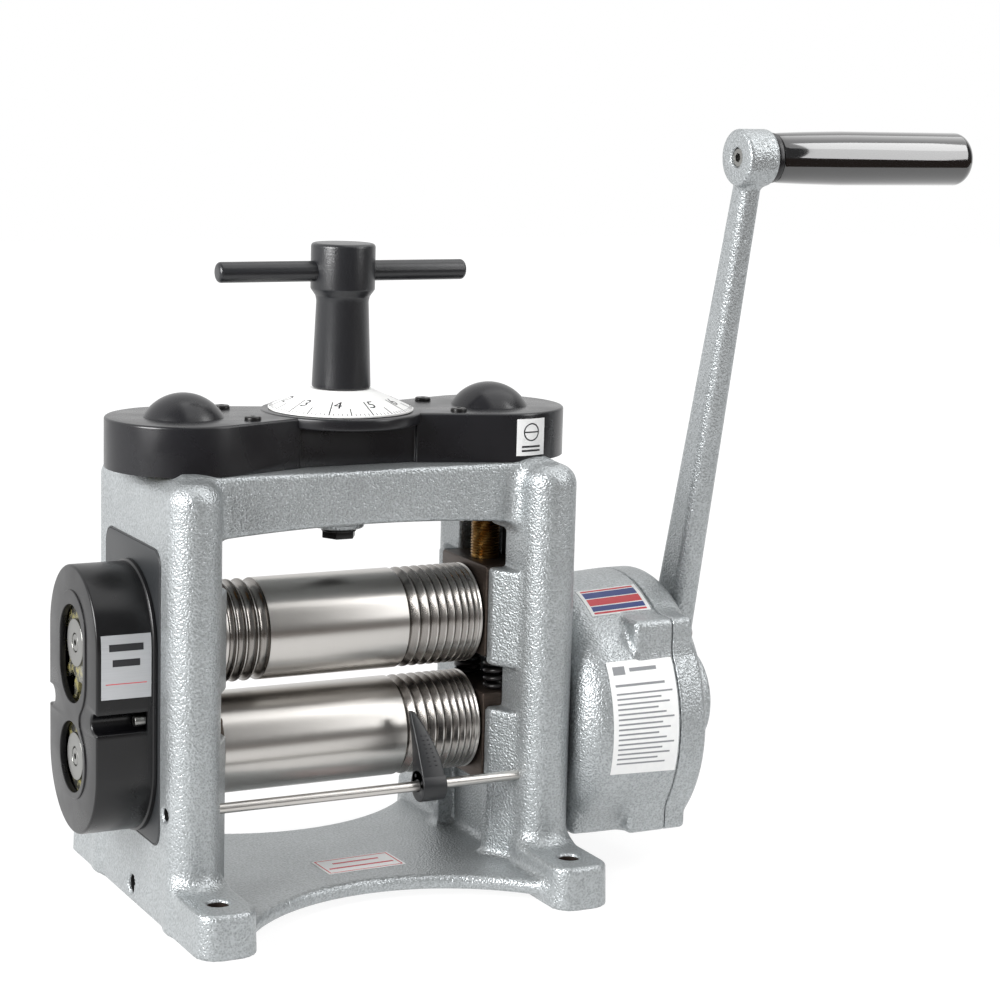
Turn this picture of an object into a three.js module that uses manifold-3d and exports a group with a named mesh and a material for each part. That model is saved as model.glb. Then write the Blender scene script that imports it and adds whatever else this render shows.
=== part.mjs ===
// A jeweller's combination rolling mill for the bench: two steel rolls in a cast frame, turned by a
// crank through a coaxial epicyclic gearbox, with the roll gap set by a tee handle through a train of
// gears under the top cover. Millimetres, +Z up. X runs along the rolls (+X is the crank side), -Y is
// the front, and the origin is on the bench surface, midway between the housings, under the rolls.
import * as THREE from "three";
import { mergeVertices } from "three/addons/utils/BufferGeometryUtils.js";
import Module from "manifold-3d";

const wasm = await Module();
wasm.setup();

// Clearances
const seat = 0.3; // between pieces that sit on each other
const running = 0.3; // between a journal and its bore
const over = 1; // how far a form that is joined or cut runs past the surface

// Rolls
const rollLength = 165;
const rollRadius = 30;
const rollGap = 6.4;
const lowerAxisZ = 90.6;
const journalRadius = 15;
const gearSeatRadius = 11;
const squareGrooves = 10;
const squareWidest = 6.1;
const squareStep = 0.42; // how much narrower each groove is than the one before
const squareMargin = 0.6; // plain width between the grooves and the roll's end
const halfRoundGrooves = 4;
const halfRoundWidest = 7.3;
const halfRoundStep = 0.95;
const halfRoundMargin = 2.5;
const grooveLand = 0.7;
const upperAxisZ = lowerAxisZ + 2 * rollRadius + rollGap;
const rollEndX = rollLength / 2;

// Bearing blocks, bushes and springs
const blockGap = 1.1; // between a roll's end face and the blocks
const blockWidth = 60.4;
const blockDepth = 27.8;
const blockInner = 22; // from the roll's axis to the face that the springs push on
const blockOuter = 33; // from the roll's axis to the face that the screw or the frame bears on
const bushWall = 2.7;
const springRadius = 7;
const springWire = 3;
const springTurns = 3;
const springSteps = 8;
const springSides = 5;
const springY = 20;
const blockX = rollEndX + blockGap;
const blockCentreX = blockX + blockDepth / 2;
const bushRadius = journalRadius + running + bushWall;

// Frame casting
const guideGap = 1.9; // between a roll's end face and the guides of the blocks
const guideDepth = 11; // how far the guides stand in from the housing
const guideWall = 6;
const lowerGuideDrop = 8; // top of the lower guides under the blocks' spring faces
const upperGuideDrop = 4; // bottom of the upper guides under the blocks' spring faces
const housingThickness = 32;
const pillarWall = 7.6; // between the window and the round of the pillar
const windowRound = 2; // the blocks have the same corners
const windowHeadroom = 23; // window above the upper blocks
const housingCrown = 42; // iron above the window
const topRounding = 15; // height of the rounded pillar tops
const topDraw = 8.25; // how far the pillar tops draw in
const plateBottom = 4.7;
const plateTop = 13.7;
const plateInset = 1.4; // from the housings' outer faces
const plateWaist = 2.2; // middle of each concave edge in front of the pillars' centres
const plateArcRadius = 117;
const ribHalf = 12; // half width of the faced rib under the plate
const boltInset = 1; // bench bolts towards the rolls from the pillars' centres
const boltReach = 39.7; // bench bolts in front of the pillars' centres
const footTop = 25.7;
const footHalfWidth = 18.2;
const footReach = 23.2; // from the bolt's centre to the foot's end
const footRound = 13;
const footEdge = 2.5;
const footDraft = 0.8;
const boltHoleRadius = 6.3;
const flareRise = 12; // height of the fillet between pillar and foot
const flareSpread = 1.7; // how far the fillet stands out at the foot
const flareSink = 0.2; // how far the fillet's top sinks into the pillar
const beamHalfDepth = 46;
const beamHeight = 35;
const beamArch = 3.4; // rise of the arched lower edge at mid span
const beamFillet = 10;
const bossDrop = 5.7; // spindle boss under the bridge
const spindleBossRadius = 15;
const levelHoleRadius = 5.5;
const levelHoleDepth = 14;
const levelHoleZ = 10.5;
const housingInnerX = rollEndX + guideGap + guideDepth;
const housingCentreX = housingInnerX + housingThickness / 2;
const housingOuterX = housingInnerX + housingThickness;
const guideX = rollEndX + guideGap;
const pillarRadius = housingThickness / 2;
const windowHalf = blockWidth / 2 + running;
const windowBottom = lowerAxisZ - blockOuter - seat;
const windowTop = upperAxisZ + blockOuter + windowHeadroom;
const pillarY = windowHalf + pillarWall + pillarRadius; // centre of each rounded pillar
const housingTop = windowTop + housingCrown;
const beamBottom = housingTop - beamHeight;
const bossBottom = beamBottom - bossDrop;
const plateSideX = housingOuterX - plateInset;
const plateVertexY = pillarY + plateWaist;
const footX = housingCentreX - boltInset;
const footY = pillarY + boltReach;

// Side plate on the left housing
const sidePlateLap = 15.1; // over the sides of the window
const sidePlateLapLow = 11.7;
const sidePlateLapTop = 1.8;
const sidePlateThickness = 3;
const sidePlateProud = 0.6; // how far the plate stands out of the frame
const sidePlateRound = 9;
const padMargin = 3.6; // faced border round the plate
const padDepth = 0.6;
const journalHole = journalRadius + 1; // in the side plate
const sidePlateX = -(housingOuterX + sidePlateProud); // outer face

// Roll gears and their cover on the left
const rollGearTeeth = 12;
const closestRolls = 60.4; // distance of the roll axes with the rolls shut
const widestRolls = 68;
const rollGearAddendum = 6;
const rollGearDedendum = 6.6;
const rollGearPressure = 14.5;
const rollGearBacklash = 0.9;
const rollGearWidth = 24;
const rollGearStandOff = 6.6; // between the side plate and the roll gears
const endCapRadius = 13.8;
const endCapThickness = 3;
const endCapSink = 2;
const endScrewHead = 5;
const endScrewSink = 0.2;
const endScrewShank = 3;
const endScrewLength = 14;
const tipGap = 2; // between a screw's tip and the end of its hole
const gearCoverRadius = 42.5;
const gearCoverLow = 2; // centre of the lower round under the lower roll
const gearCoverHigh = 0.6; // centre of the upper round over the highest upper roll
const gearCoverReach = 4.7; // from the roll gears to the cover's outer face
const gearCoverWall = 2.6;
const gearCoverEdge = 1.3;
const gearCoverLip = 1.2;
const windowRadius = 20.5; // windows over the ends of the rolls
const upperWindowDrop = 4; // upper window under the middle of the upper roll's travel
const upperWindowRoom = 4; // half height of the upper window over the roll's travel
const rimLength = 4.5; // half height of the rim over the window's
const rimWidth = 4; // raised rim round the windows
const rimRise = 0.8;
const rimWaist = 12;
const channelInset = 4.5;
const channelDrop = 5.4; // screws under the middle of the cover
const channelRadius = 5.5;
const channelWall = 2.2;
const channelFoot = 5.1; // moulding under the screws' heads
const coverScrewHead = 3.2;
const coverScrewHeadLength = 6.4;
const coverScrewShank = 2.2;
const coverScrewLength = 14;
const rollGearX = sidePlateX - rollGearStandOff - rollGearWidth; // outer face
const gearCoverX = rollGearX - gearCoverReach; // outer face
const gearCoverBackX = sidePlateX - seat;
const gearCoverBottom = lowerAxisZ - gearCoverLow - gearCoverRadius;
const gearCoverTop = lowerAxisZ + widestRolls + gearCoverHigh + gearCoverRadius;
const channelY = gearCoverRadius - channelInset;
const channelFloorX = gearCoverBackX - channelFoot;

// Screw-down train under the top cover. Its module is what the span from spindle to screws gives.
const trainAddendum = 0.7; // in modules, stubbed to clear the cover
const trainClearance = 0.25; // in modules
const trainBacklash = 0.4;
const pinionTeeth = 16;
const idlerTeeth = 17;
const screwGearTeeth = 28;
const screwRadius = 9;
const screwGearThickness = 8;
const screwGearDrop = 5.4; // screw gears under the cover's roof at rest
const screwTopRise = 5; // screw above its gear
const trainLift = 2; // gears above the frame, on their shoulders
const trainDrop = 1.4; // pinion and idlers under the cover's roof
const shoulderRadius = 10.5;
const idlerJournalRadius = 5;
const idlerJournalLength = 9;
const nutRadius = 14;
const spindleRadius = 8;
const spindleThread = 5.5;
const spindleTail = 6.8; // spindle under its boss
const spindleSocket = 32.7; // how far the spindle reaches into the post
const spindleNutRadius = 10.6;
const spindleNutHeight = 6.5;
const screwX = blockCentreX;
const trainModule = (2 * screwX) / (pinionTeeth + 2 * idlerTeeth + screwGearTeeth);
const pinionPitch = (trainModule * pinionTeeth) / 2;
const idlerPitch = (trainModule * idlerTeeth) / 2;
const screwGearPitch = (trainModule * screwGearTeeth) / 2;
const idlerX = pinionPitch + idlerPitch;
const spindleBottom = bossBottom - spindleTail;

// Top cover
const coverHeight = 29.4;
const coverInset = 1; // lobes from the bridge's faces
const coverWall = 2;
const coverRoof = 3;
const coverEdge = 1.3;
const panelEnd = 4.55; // ends of the sunk panel from the idlers' axes
const panelSink = 2.6; // step from the slanting walls to the panel
const discThickness = 6.7;
const discMargin = 4.9; // the round that the dial turns on, over the dial
const domeRadius = 22.9;
const domeHeight = 13;
const domeWall = 2.4;
const topScrewInset = 3; // from where the slanting walls end
const topScrewShank = 1.9;
const topScrewLength = 36;
const screwPillar = 3.6;
const screwPillarGap = 0.4; // to the screw gears
const coverBottom = housingTop + seat;
const coverTop = housingTop + coverHeight;
const roofUnder = coverTop - coverRoof;
const lobeRadius = beamHalfDepth - coverInset;
const panelY = idlerPitch + trainModule * trainAddendum + coverWall;
const waistX = idlerX - panelEnd;
const waistY = panelY + panelSink;
const topScrewY = waistY - topScrewInset;
const screwReach = screwGearPitch + trainModule * trainAddendum + screwPillarGap + screwPillar;
const topScrewX = screwX - Math.sqrt(screwReach ** 2 - topScrewY ** 2);

// Tee handle and dial
const dialRadius = 42.6;
const dialFlat = 0.6; // between the post and the dial's cone
const dialHeight = 12.3;
const dialRim = 1.2;
const postRadius = 17.2;
const neckRadius = 15.3;
const neckLength = 50.7;
const neckFlare = 0.8; // first step of the flare under the head
const neckFlareRise = 2.5;
const headRadius = 18.8;
const headFlare = 8; // height of the flare
const headLength = 25.6;
const teeRound = 2;
const teeBarRise = 9.4; // bar above the flare
const teeBarRadius = 6;
const teeBarHalf = 78;
const teeBarRound = 2;
const discRadius = dialRadius + discMargin;
const dialBottom = coverTop + seat;
const postBottom = dialBottom + dialHeight + seat;
const spindleTop = postBottom + spindleSocket;
const neckTop = postBottom + neckLength;
const headBottom = neckTop + headFlare;
const teeTop = headBottom + headLength;
const teeBarZ = headBottom + teeBarRise;

// Gearbox
const boxRadius = 85.1;
const boxDraft = 0.055; // growth of radius per millimetre towards the seam
const boxBackRound = 20;
const boxBackWall = 8;
const boxBossLength = 21.3;
const boxSpare = 9; // between the carrier's pins and the seam
const boxFloorWall = 4.8; // under the bore, at the flat underside
const lidDepth = 19.5;
const lidWall = 6.5;
const lidHubX = 2; // from the seam to the lid's hub
const lidEdge = [
  [6, 0.6],
  [2, 2.2],
  [0, 4.4],
]; // from the lid's face and from its radius
const lugInset = 15.6; // sides of the lugs from the sides of the drum
const lugDrop = 17.4; // top of the lugs under the top of the drum
const lugSize = 24;
const lugRound = 5;
const lowerLugRound = 2;
const lugDepth = 27.7;
const lugSetback = 4.6; // from the lid's face
const bossRadius = 24;
const boxScrewRadius = 3.3;
const boxScrewInset = 8;
const gearModule = 3;
const gearAddendum = 0.85; // in modules
const gearDedendum = 1.15;
const ringAddendum = 0.75;
const gearBacklash = 0.5;
const sunTeeth = 12;
const planetTeeth = 12;
const planets = 3;
const ringWall = 2.5;
const gearWidth = 20;
const endFloat = 1; // between gears and their neighbours along the shaft
const carrierThickness = 9;
const carrierMargin = 5; // round the pins
const pinRadius = 5;
const shaftRadius = 12;
const shaftBushWall = 2.7;
const ringTeeth = sunTeeth + 2 * planetTeeth;
const sunPitch = (gearModule * sunTeeth) / 2;
const planetPitch = (gearModule * planetTeeth) / 2;
const ringPitch = (gearModule * ringTeeth) / 2;
const ringRadius = ringPitch + gearModule * gearDedendum + ringWall;
const planetCentre = sunPitch + planetPitch;
const boxBackX = housingOuterX + seat;
const carrierX = boxBackX + boxBossLength + endFloat;
const gearX = carrierX + carrierThickness + endFloat;
const pinEndX = gearX + gearWidth + endFloat;
const boxSeamX = pinEndX + boxSpare;
const boxFaceX = boxSeamX + lidDepth;
const boxBore = ringRadius + seat;
const boxBottom = boxBore + boxFloorWall;
const lugHalf = boxRadius - lugInset;
const lugTop = boxRadius - lugDrop;
const lugBackX = boxSeamX - lugDepth;
const lugFaceX = boxFaceX - lugSetback;

// Crank and grip
const hubGap = 2.9; // between the gearbox and the crank
const armOffset = 12.6; // middle of the arm from the hub's inner face
const armLength = 354.8;
const armLean = 13.36; // degrees towards the front
const hubRadius = 33;
const hubLength = 32.1;
const hubBoreDepth = 26;
const hubEdge = 2.5;
const armRootWidth = 30;
const armRootDepth = 17.5;
const armTipWidth = 16;
const armTipDepth = 12;
const armTipFlare = 3; // growth of the width where the arm runs into the eye
const armRounding = 0.36; // in depths of the arm
const eyeRadius = 16.8;
const eyeLength = 20.5;
const eyeShift = 0.5; // middle of the eye inwards of the arm's
const eyeEdge = 2;
const hubScrewHead = 8;
const hubScrewHeadLength = 3.5;
const hubScrewShank = 3;
const collarThickness = 4;
const collarRadius = 14.8;
const gripLength = 138.7;
const gripRadius = 16.1;
const gripNeckRadius = 14.5;
const gripSwell = [20.8, 15.5]; // where the grip has nearly its full radius, and that radius
const gripFull = 45.8; // where it has all of it
const gripRound = 8;
const handleBoltRadius = 5.5;
const handleBoltRecess = 1;
const handleBoltTail = 16; // from the bolt's end to the grip's end
const boltSocketRadius = 3;
const boltSocketDepth = 4;
const hubX = boxFaceX + hubGap;
const armX = hubX + armOffset;
const eyeX = armX - eyeShift - eyeLength / 2;

// Wire guide
const rodDrop = 23.6; // rod under the lower roll's axis
const rodRadius = 3;
const rodLeftSink = 3.4; // rod's end in from the left housing's outer face
const rodRightSink = 3.4; // rod's end short of the right pillar's centre
const rodHoleRadius = 4;
const fingerX = 37; // where the guide stands along the rod
const fingerWidth = 15;
const fingerBarrel = 9.5;
const fingerRoot = 15; // thickness at the rod
const fingerWaist = [12, 9.5, 4.2, 14.5]; // width, thickness, place towards the rolls and height
const fingerTip = [3, 4, 14, 41.5];
const rodY = -pillarY;
const rodZ = lowerAxisZ - rodDrop;
const rodLeftX = -(housingOuterX - rodLeftSink);
const rodRightX = housingCentreX - rodRightSink;

// Materials
const material = (color, roughness, metalness) =>
  new THREE.MeshStandardMaterial({ color, roughness, metalness });
const hammeredEnamel = material(0xaeb3b5, 0.45, 0.35);
const blackMoulding = material(0x1b1c1f, 0.4, 0);
const blackEnamel = material(0x222426, 0.5, 0.1);
const groundSteel = material(0xc9cbcc, 0.18, 1);
const machinedSteel = material(0x9b9ea1, 0.35, 1);
const darkSteel = material(0x2c2d30, 0.45, 0.8);
const bronze = material(0xa97c46, 0.4, 1);
const castIron = material(0x4a4c4e, 0.6, 0.7);
const dialWhite = material(0xf2f2ef, 0.4, 0);
const gripPlastic = material(0x101114, 0.12, 0);

// Outlines
const rollSides = 16;
const roundSides = 16;
const smallSides = 12;
const wideSides = 24;
const tinySides = 8;
const plateSides = 32; // of the whole circle, for the long arcs of the base plate
const archSteps = 4;
const point = (x, y) => new THREE.Vector2(x, y);
const inRadians = THREE.MathUtils.degToRad;

function arc(cx, cy, radius, from, to, sides = roundSides) {
  const steps = Math.max(1, Math.round((Math.abs(to - from) / 360) * sides));
  return Array.from({ length: steps + 1 }, (_, i) => {
    const angle = inRadians(from + ((to - from) * i) / steps);
    return point(cx + radius * Math.cos(angle), cy + radius * Math.sin(angle));
  });
}

const circle = (cx, cy, radius, sides = roundSides) => arc(cx, cy, radius, 0, 360, sides).slice(0, -1);

// A slot with round ends, long in its second axis
const stadium = (cx, cy, half, radius, sides = roundSides) => [
  ...arc(cx, cy + half, radius, 0, 180, sides),
  ...arc(cx, cy - half, radius, 180, 360, sides),
];

const roundedRectangle = (x0, x1, y0, y1, radius, sides = smallSides) => [
  ...arc(x1 - radius, y1 - radius, radius, 0, 90, sides),
  ...arc(x0 + radius, y1 - radius, radius, 90, 180, sides),
  ...arc(x0 + radius, y0 + radius, radius, 180, 270, sides),
  ...arc(x1 - radius, y0 + radius, radius, 270, 360, sides),
];

// Solids
const alongX = new THREE.Matrix4().makeBasis(
  new THREE.Vector3(0, 1, 0),
  new THREE.Vector3(0, 0, 1),
  new THREE.Vector3(1, 0, 0),
);

// A closed geometry as a solid with its faces out
function solid(geometry) {
  const source = geometry.index ? geometry.toNonIndexed() : geometry;
  const bare = new THREE.BufferGeometry();
  bare.setAttribute("position", source.getAttribute("position"));
  const merged = mergeVertices(bare, 1e-4);
  const triangles = [];
  for (let i = 0; i < merged.index.count; i += 3) {
    const [a, b, c] = [0, 1, 2].map((k) => merged.index.getX(i + k));
    if (a !== b && b !== c && c !== a) triangles.push(a, b, c);
  }
  const make = (triVerts) =>
    new wasm.Manifold(
      new wasm.Mesh({
        numProp: 3,
        vertProperties: new Float32Array(merged.attributes.position.array),
        triVerts: new Uint32Array(triVerts),
      }),
    );
  const made = make(triangles);
  return made.volume() > 0 ? made : make(triangles.reverse());
}

function extruded(outline, depth) {
  const shape = new THREE.Shape(outline);
  return new THREE.ExtrudeGeometry(shape, { depth, bevelEnabled: false, curveSegments: 1 });
}

// An XY outline between two heights
const prismZ = (outline, z0, z1) => solid(extruded(outline, z1 - z0).translate(0, 0, z0));

// A YZ outline between two places along X
const prismX = (outline, x0, x1) =>
  solid(extruded(outline, Math.abs(x1 - x0)).applyMatrix4(alongX).translate(Math.min(x0, x1), 0, 0));

// An XZ outline between two places along Y
const prismY = (outline, y0, y1) =>
  solid(extruded(outline, y1 - y0).rotateX(Math.PI / 2).translate(0, y1, 0));

function box(x0, x1, y0, y1, z0, z1) {
  const geometry = new THREE.BoxGeometry(Math.abs(x1 - x0), Math.abs(y1 - y0), Math.abs(z1 - z0));
  return solid(geometry.translate((x0 + x1) / 2, (y0 + y1) / 2, (z0 + z1) / 2));
}

// A turned piece on an axis along X, from pairs of place along X and radius
const turnedX = (profile, y = 0, z = 0, sides = roundSides) =>
  solid(
    new THREE.LatheGeometry(
      profile.map(([x, r]) => point(r, x)),
      sides,
    )
      .rotateZ(-Math.PI / 2)
      .translate(0, y, z),
  );

// A turned piece on an axis along Z, from pairs of radius and height
const turnedZ = (profile, x = 0, y = 0, sides = roundSides) =>
  solid(
    new THREE.LatheGeometry(
      profile.map(([r, z]) => point(r, z)),
      sides,
    )
      .rotateX(Math.PI / 2)
      .translate(x, y, 0),
  );

const pegX = (x0, x1, radius, y = 0, z = 0, sides = roundSides) =>
  turnedX([[x0, 0], [x0, radius], [x1, radius], [x1, 0]], y, z, sides);

const pegZ = (z0, z1, radius, x = 0, y = 0, sides = roundSides) =>
  turnedZ([[0, z0], [radius, z0], [radius, z1], [0, z1]], x, y, sides);

const ringX = (x0, x1, inner, outer, sides = roundSides) =>
  turnedX([[x0, inner], [x0, outer], [x1, outer], [x1, inner], [x0, inner]], 0, 0, sides);

const ringZ = (z0, z1, inner, outer, sides = roundSides) =>
  turnedZ([[inner, z0], [outer, z0], [outer, z1], [inner, z1], [inner, z0]], 0, 0, sides);

const joined = (first, ...others) => others.reduce((all, next) => all.add(next), first);
const cut = (first, ...others) => others.reduce((all, next) => all.subtract(next), first);

// A form skinned over pairs of outline and height. Each outline has as many points as the first.
function skinned(sections) {
  const outlines = sections.map(([outline]) =>
    THREE.ShapeUtils.isClockWise(outline) ? [...outline].reverse() : outline,
  );
  const count = outlines[0].length;
  const corners = outlines.flatMap((outline, k) => outline.flatMap((p) => [p.x, p.y, sections[k][1]]));
  const faces = [];
  for (let k = 0; k + 1 < outlines.length; k++) {
    for (let i = 0; i < count; i++) {
      const [a, b] = [k * count + i, k * count + ((i + 1) % count)];
      faces.push(a, b, b + count, a, b + count, a + count);
    }
  }
  const last = (outlines.length - 1) * count;
  for (const [a, b, c] of THREE.ShapeUtils.triangulateShape(outlines[0], [])) faces.push(c, b, a);
  for (const [a, b, c] of THREE.ShapeUtils.triangulateShape(outlines.at(-1), []))
    faces.push(last + a, last + b, last + c);
  const geometry = new THREE.BufferGeometry();
  geometry.setAttribute("position", new THREE.Float32BufferAttribute(corners, 3));
  geometry.setIndex(faces);
  return geometry;
}

// Involute function of the pressure angle with this cosine
const involute = (cosine) => Math.sqrt(1 / cosine ** 2 - 1) - Math.acos(cosine);

// Outline of a gear with a tooth at the angle phase. The flanks are chords of involutes between the radii
// of the levels, and the teeth are thinned by the backlash on the pitch circle.
function gearOutline({ teeth, pitch, addendum, dedendum, backlash, pressure = 20, phase = 0, levels = 2 }) {
  const cosine = Math.cos(inRadians(pressure));
  const base = pitch * cosine;
  const thick = (Math.PI * pitch) / teeth / 2 - backlash / 2;
  const half = (r) => thick / pitch + involute(cosine) - involute(Math.min(1, base / r));
  const radii = Array.from(
    { length: levels },
    (_, i) => pitch - dedendum + ((addendum + dedendum) * i) / (levels - 1),
  );
  const tooth = [...radii.map((r) => [r, -half(r)]), ...radii.map((r) => [r, half(r)]).reverse()];
  return Array.from({ length: teeth }, (_, i) => inRadians(phase) + (2 * Math.PI * i) / teeth).flatMap(
    (middle) => tooth.map(([r, a]) => point(r * Math.cos(middle + a), r * Math.sin(middle + a))),
  );
}

const mill = new THREE.Group();

// A group whose own origin lies at a place in the mill
function assembly(x, y, z) {
  const group = new THREE.Group();
  group.position.set(x, y, z);
  mill.add(group);
  return group;
}

function place(parent, name, made, look, x = 0, y = 0, z = 0) {
  const result = made.getMesh();
  const geometry = new THREE.BufferGeometry();
  geometry.setAttribute("position", new THREE.BufferAttribute(new Float32Array(result.vertProperties), 3));
  geometry.setIndex(new THREE.BufferAttribute(new Uint32Array(result.triVerts), 1));
  geometry.computeVertexNormals();
  const mesh = new THREE.Mesh(geometry, look);
  mesh.name = name;
  mesh.position.set(x, y, z);
  parent.add(mesh);
}

// A screw along X: its head's outer face is at x, and its shank points the way
function capScrewX(x, way, head, headLength, shank, shankLength) {
  const under = x + way * headLength;
  const end = under + way * shankLength;
  const profile = [[x, 0], [x, head], [under, head], [under, shank], [end, shank], [end, 0]];
  return turnedX(profile, 0, 0, tinySides);
}

// The angle of a tooth of gear b that meshes with gear a, when b lies from a at the angle
const meshPhase = (teethA, phaseA, angle, teethB) =>
  angle + 180 + (((angle - phaseA) * teethA) / 360 + 0.5) * (360 / teethB);

const sidesOf = [
  ["left", -1],
  ["right", 1],
];
const ways = [-1, 1];

// Frame: one iron casting of two housings with rounded pillars, a bridge, a base plate and four feet
function housing(side) {
  const outline = (inset) => stadium(side * housingCentreX, 0, pillarY, pillarRadius - inset);
  const inset = (share) => (1 - Math.sqrt(1 - share ** 2)) * topDraw;
  return solid(
    skinned([
      [outline(0), 0],
      ...[0, 0.6, 1].map((share) => [outline(inset(share)), housingTop - topRounding * (1 - share)]),
    ]),
  );
}

// The guides that keep a bearing block square stand in from the housing on both sides of its window
function guide(side, way, z0, z1) {
  const outline = [
    point(side * guideX, way * windowHalf),
    point(side * guideX, way * (windowHalf + guideWall)),
    point(side * housingInnerX, way * pillarY),
    point(side * housingCentreX, way * pillarY),
    point(side * housingCentreX, way * windowHalf),
  ];
  return prismZ(outline, z0, z1);
}

function basePlate() {
  const swing = THREE.MathUtils.radToDeg(Math.asin((footX - footHalfWidth) / plateArcRadius));
  const centre = plateVertexY + plateArcRadius;
  const front = arc(0, -centre, plateArcRadius, 90 + swing, 90 - swing, plateSides);
  const back = arc(0, centre, plateArcRadius, 270 + swing, 270 - swing, plateSides);
  const corner = (p, side) => point(side * plateSideX, p.y);
  const outline = [...front, corner(front[0], 1), corner(back[0], 1), ...back, corner(back[0], -1),
    corner(front[0], -1)];
  return joined(
    prismZ(outline, plateBottom, plateTop),
    box(-housingCentreX, housingCentreX, -ribHalf, ribHalf, 0, plateBottom + over),
  );
}

function foot(side, way) {
  const outline = (inset) => {
    const [half, end, radius] = [footHalfWidth - inset, footY + footReach - inset, footRound - inset];
    const front = [
      ...arc(footX + half - radius, end - radius, radius, 0, 90),
      ...arc(footX - half + radius, end - radius, radius, 90, 180),
    ];
    const path = [...front, point(footX - half, pillarY), point(footX + half, pillarY)];
    return path.map((p) => point(side * p.x, way * p.y));
  };
  const pad = solid(
    skinned([
      [outline(0), 0],
      [outline(footDraft), footTop - footEdge],
      [outline(footEdge), footTop],
    ]),
  );
  const flare = [0, 45, 90].map((angle) => [
    pillarRadius - flareSink + flareSpread * (1 - Math.sin(inRadians(angle))),
    footTop + flareRise * (1 - Math.cos(inRadians(angle))),
  ]);
  const [under, top] = [footTop - over, footTop + flareRise];
  const fillet = turnedZ([[0, under], [flare[0][0], under], ...flare, [0, top]], side * housingCentreX,
    way * pillarY);
  const hole = pegZ(-over, footTop + over, boltHoleRadius, side * footX, way * footY, smallSides);
  return joined(cut(pad, hole), fillet);
}

// The bridge has an arched lower edge and runs into the housings with fillets
function bridge() {
  const half = housingInnerX + over;
  const inner = housingInnerX - beamFillet;
  const radius = (inner ** 2 + beamArch ** 2) / (2 * beamArch);
  const swing = THREE.MathUtils.radToDeg(Math.asin(inner / radius));
  const crown = beamBottom + beamArch - radius;
  const edge = arc(0, crown, radius, 90 + swing, 90 - swing, (archSteps * 180) / swing);
  const right = arc(inner, beamBottom - beamFillet, beamFillet, 90, 0, smallSides).slice(1);
  const left = right.map((p) => point(-p.x, p.y)).reverse();
  const outline = [...left, ...edge, ...right, point(half, beamBottom - beamFillet), point(half, housingTop),
    point(-half, housingTop), point(-half, beamBottom - beamFillet)];
  const boss = pegZ(bossBottom, housingTop - over, spindleBossRadius);
  return joined(prismY(outline, -beamHalfDepth, beamHalfDepth), boss);
}

let frame = joined(housing(-1), housing(1), basePlate(), bridge());
for (const [, side] of sidesOf) {
  for (const way of ways) {
    frame = joined(
      frame,
      foot(side, way),
      guide(side, way, plateTop - over, lowerAxisZ + blockInner - lowerGuideDrop),
      guide(side, way, upperAxisZ - blockInner - upperGuideDrop, upperAxisZ + blockOuter),
    );
  }
}
for (const [, side] of sidesOf) {
  const opening = roundedRectangle(-windowHalf, windowHalf, windowBottom, windowTop, windowRound, tinySides);
  frame = cut(
    frame,
    prismX(opening, side * (guideX - over), side * (housingOuterX + over)),
    pegZ(windowTop - over, housingTop + over, nutRadius + seat, side * screwX, 0),
    pegZ(housingTop - idlerJournalLength - over, housingTop + over, idlerJournalRadius + running,
      side * idlerX, 0, smallSides),
  );
  for (const way of ways)
    frame = frame.subtract(
      pegZ(coverTop - topScrewLength, housingTop + over, topScrewShank + running,
        side * topScrewX, way * topScrewY, tinySides),
    );
}
const plateOutline = (margin) =>
  roundedRectangle(
    -windowHalf - sidePlateLap - margin,
    windowHalf + sidePlateLap + margin,
    windowBottom - sidePlateLapLow - margin,
    windowTop + sidePlateLapTop + margin,
    sidePlateRound + margin,
  );
const coverMidZ = (gearCoverTop + gearCoverBottom) / 2;
const coverScrewZ = coverMidZ - channelDrop;
frame = cut(
  frame,
  prismX(plateOutline(padMargin), -housingOuterX - over, -housingOuterX + padDepth),
  prismX(plateOutline(seat), -housingOuterX - over, sidePlateX + sidePlateThickness + seat),
  pegX(rodLeftX - seat, rodRightX + seat, rodRadius + running, rodY, rodZ, smallSides),
  pegX(-housingOuterX - over, rodLeftX - seat, rodHoleRadius, rodY, rodZ, smallSides),
  pegX(-housingOuterX - over, -housingOuterX + levelHoleDepth, levelHoleRadius, 0, levelHoleZ, smallSides),
  pegZ(bossBottom - over, housingTop + over, spindleRadius + running),
  ...ways.map((way) =>
    pegX(-housingOuterX - over, channelFloorX + coverScrewLength + tipGap, coverScrewShank + running,
      way * channelY, coverScrewZ, tinySides),
  ),
);
place(mill, "frame_casting", frame, hammeredEnamel);

// Side plate: steel plate let into the left housing, with a hole for each roll's journal
const slotHalf = (widestRolls - closestRolls) / 2;
const slotZ = lowerAxisZ + (widestRolls + closestRolls) / 2;
const throughPlate = [sidePlateX - over, sidePlateX + sidePlateThickness + over];
const sidePlate = cut(
  prismX(plateOutline(0), sidePlateX, sidePlateX + sidePlateThickness),
  pegX(...throughPlate, journalHole, 0, lowerAxisZ),
  prismX(stadium(0, slotZ, slotHalf, journalHole), ...throughPlate),
  ...ways.map((way) =>
    pegX(...throughPlate, coverScrewShank + running, way * channelY, coverScrewZ, tinySides),
  ),
);
place(mill, "side_plate", sidePlate, blackEnamel);

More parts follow.
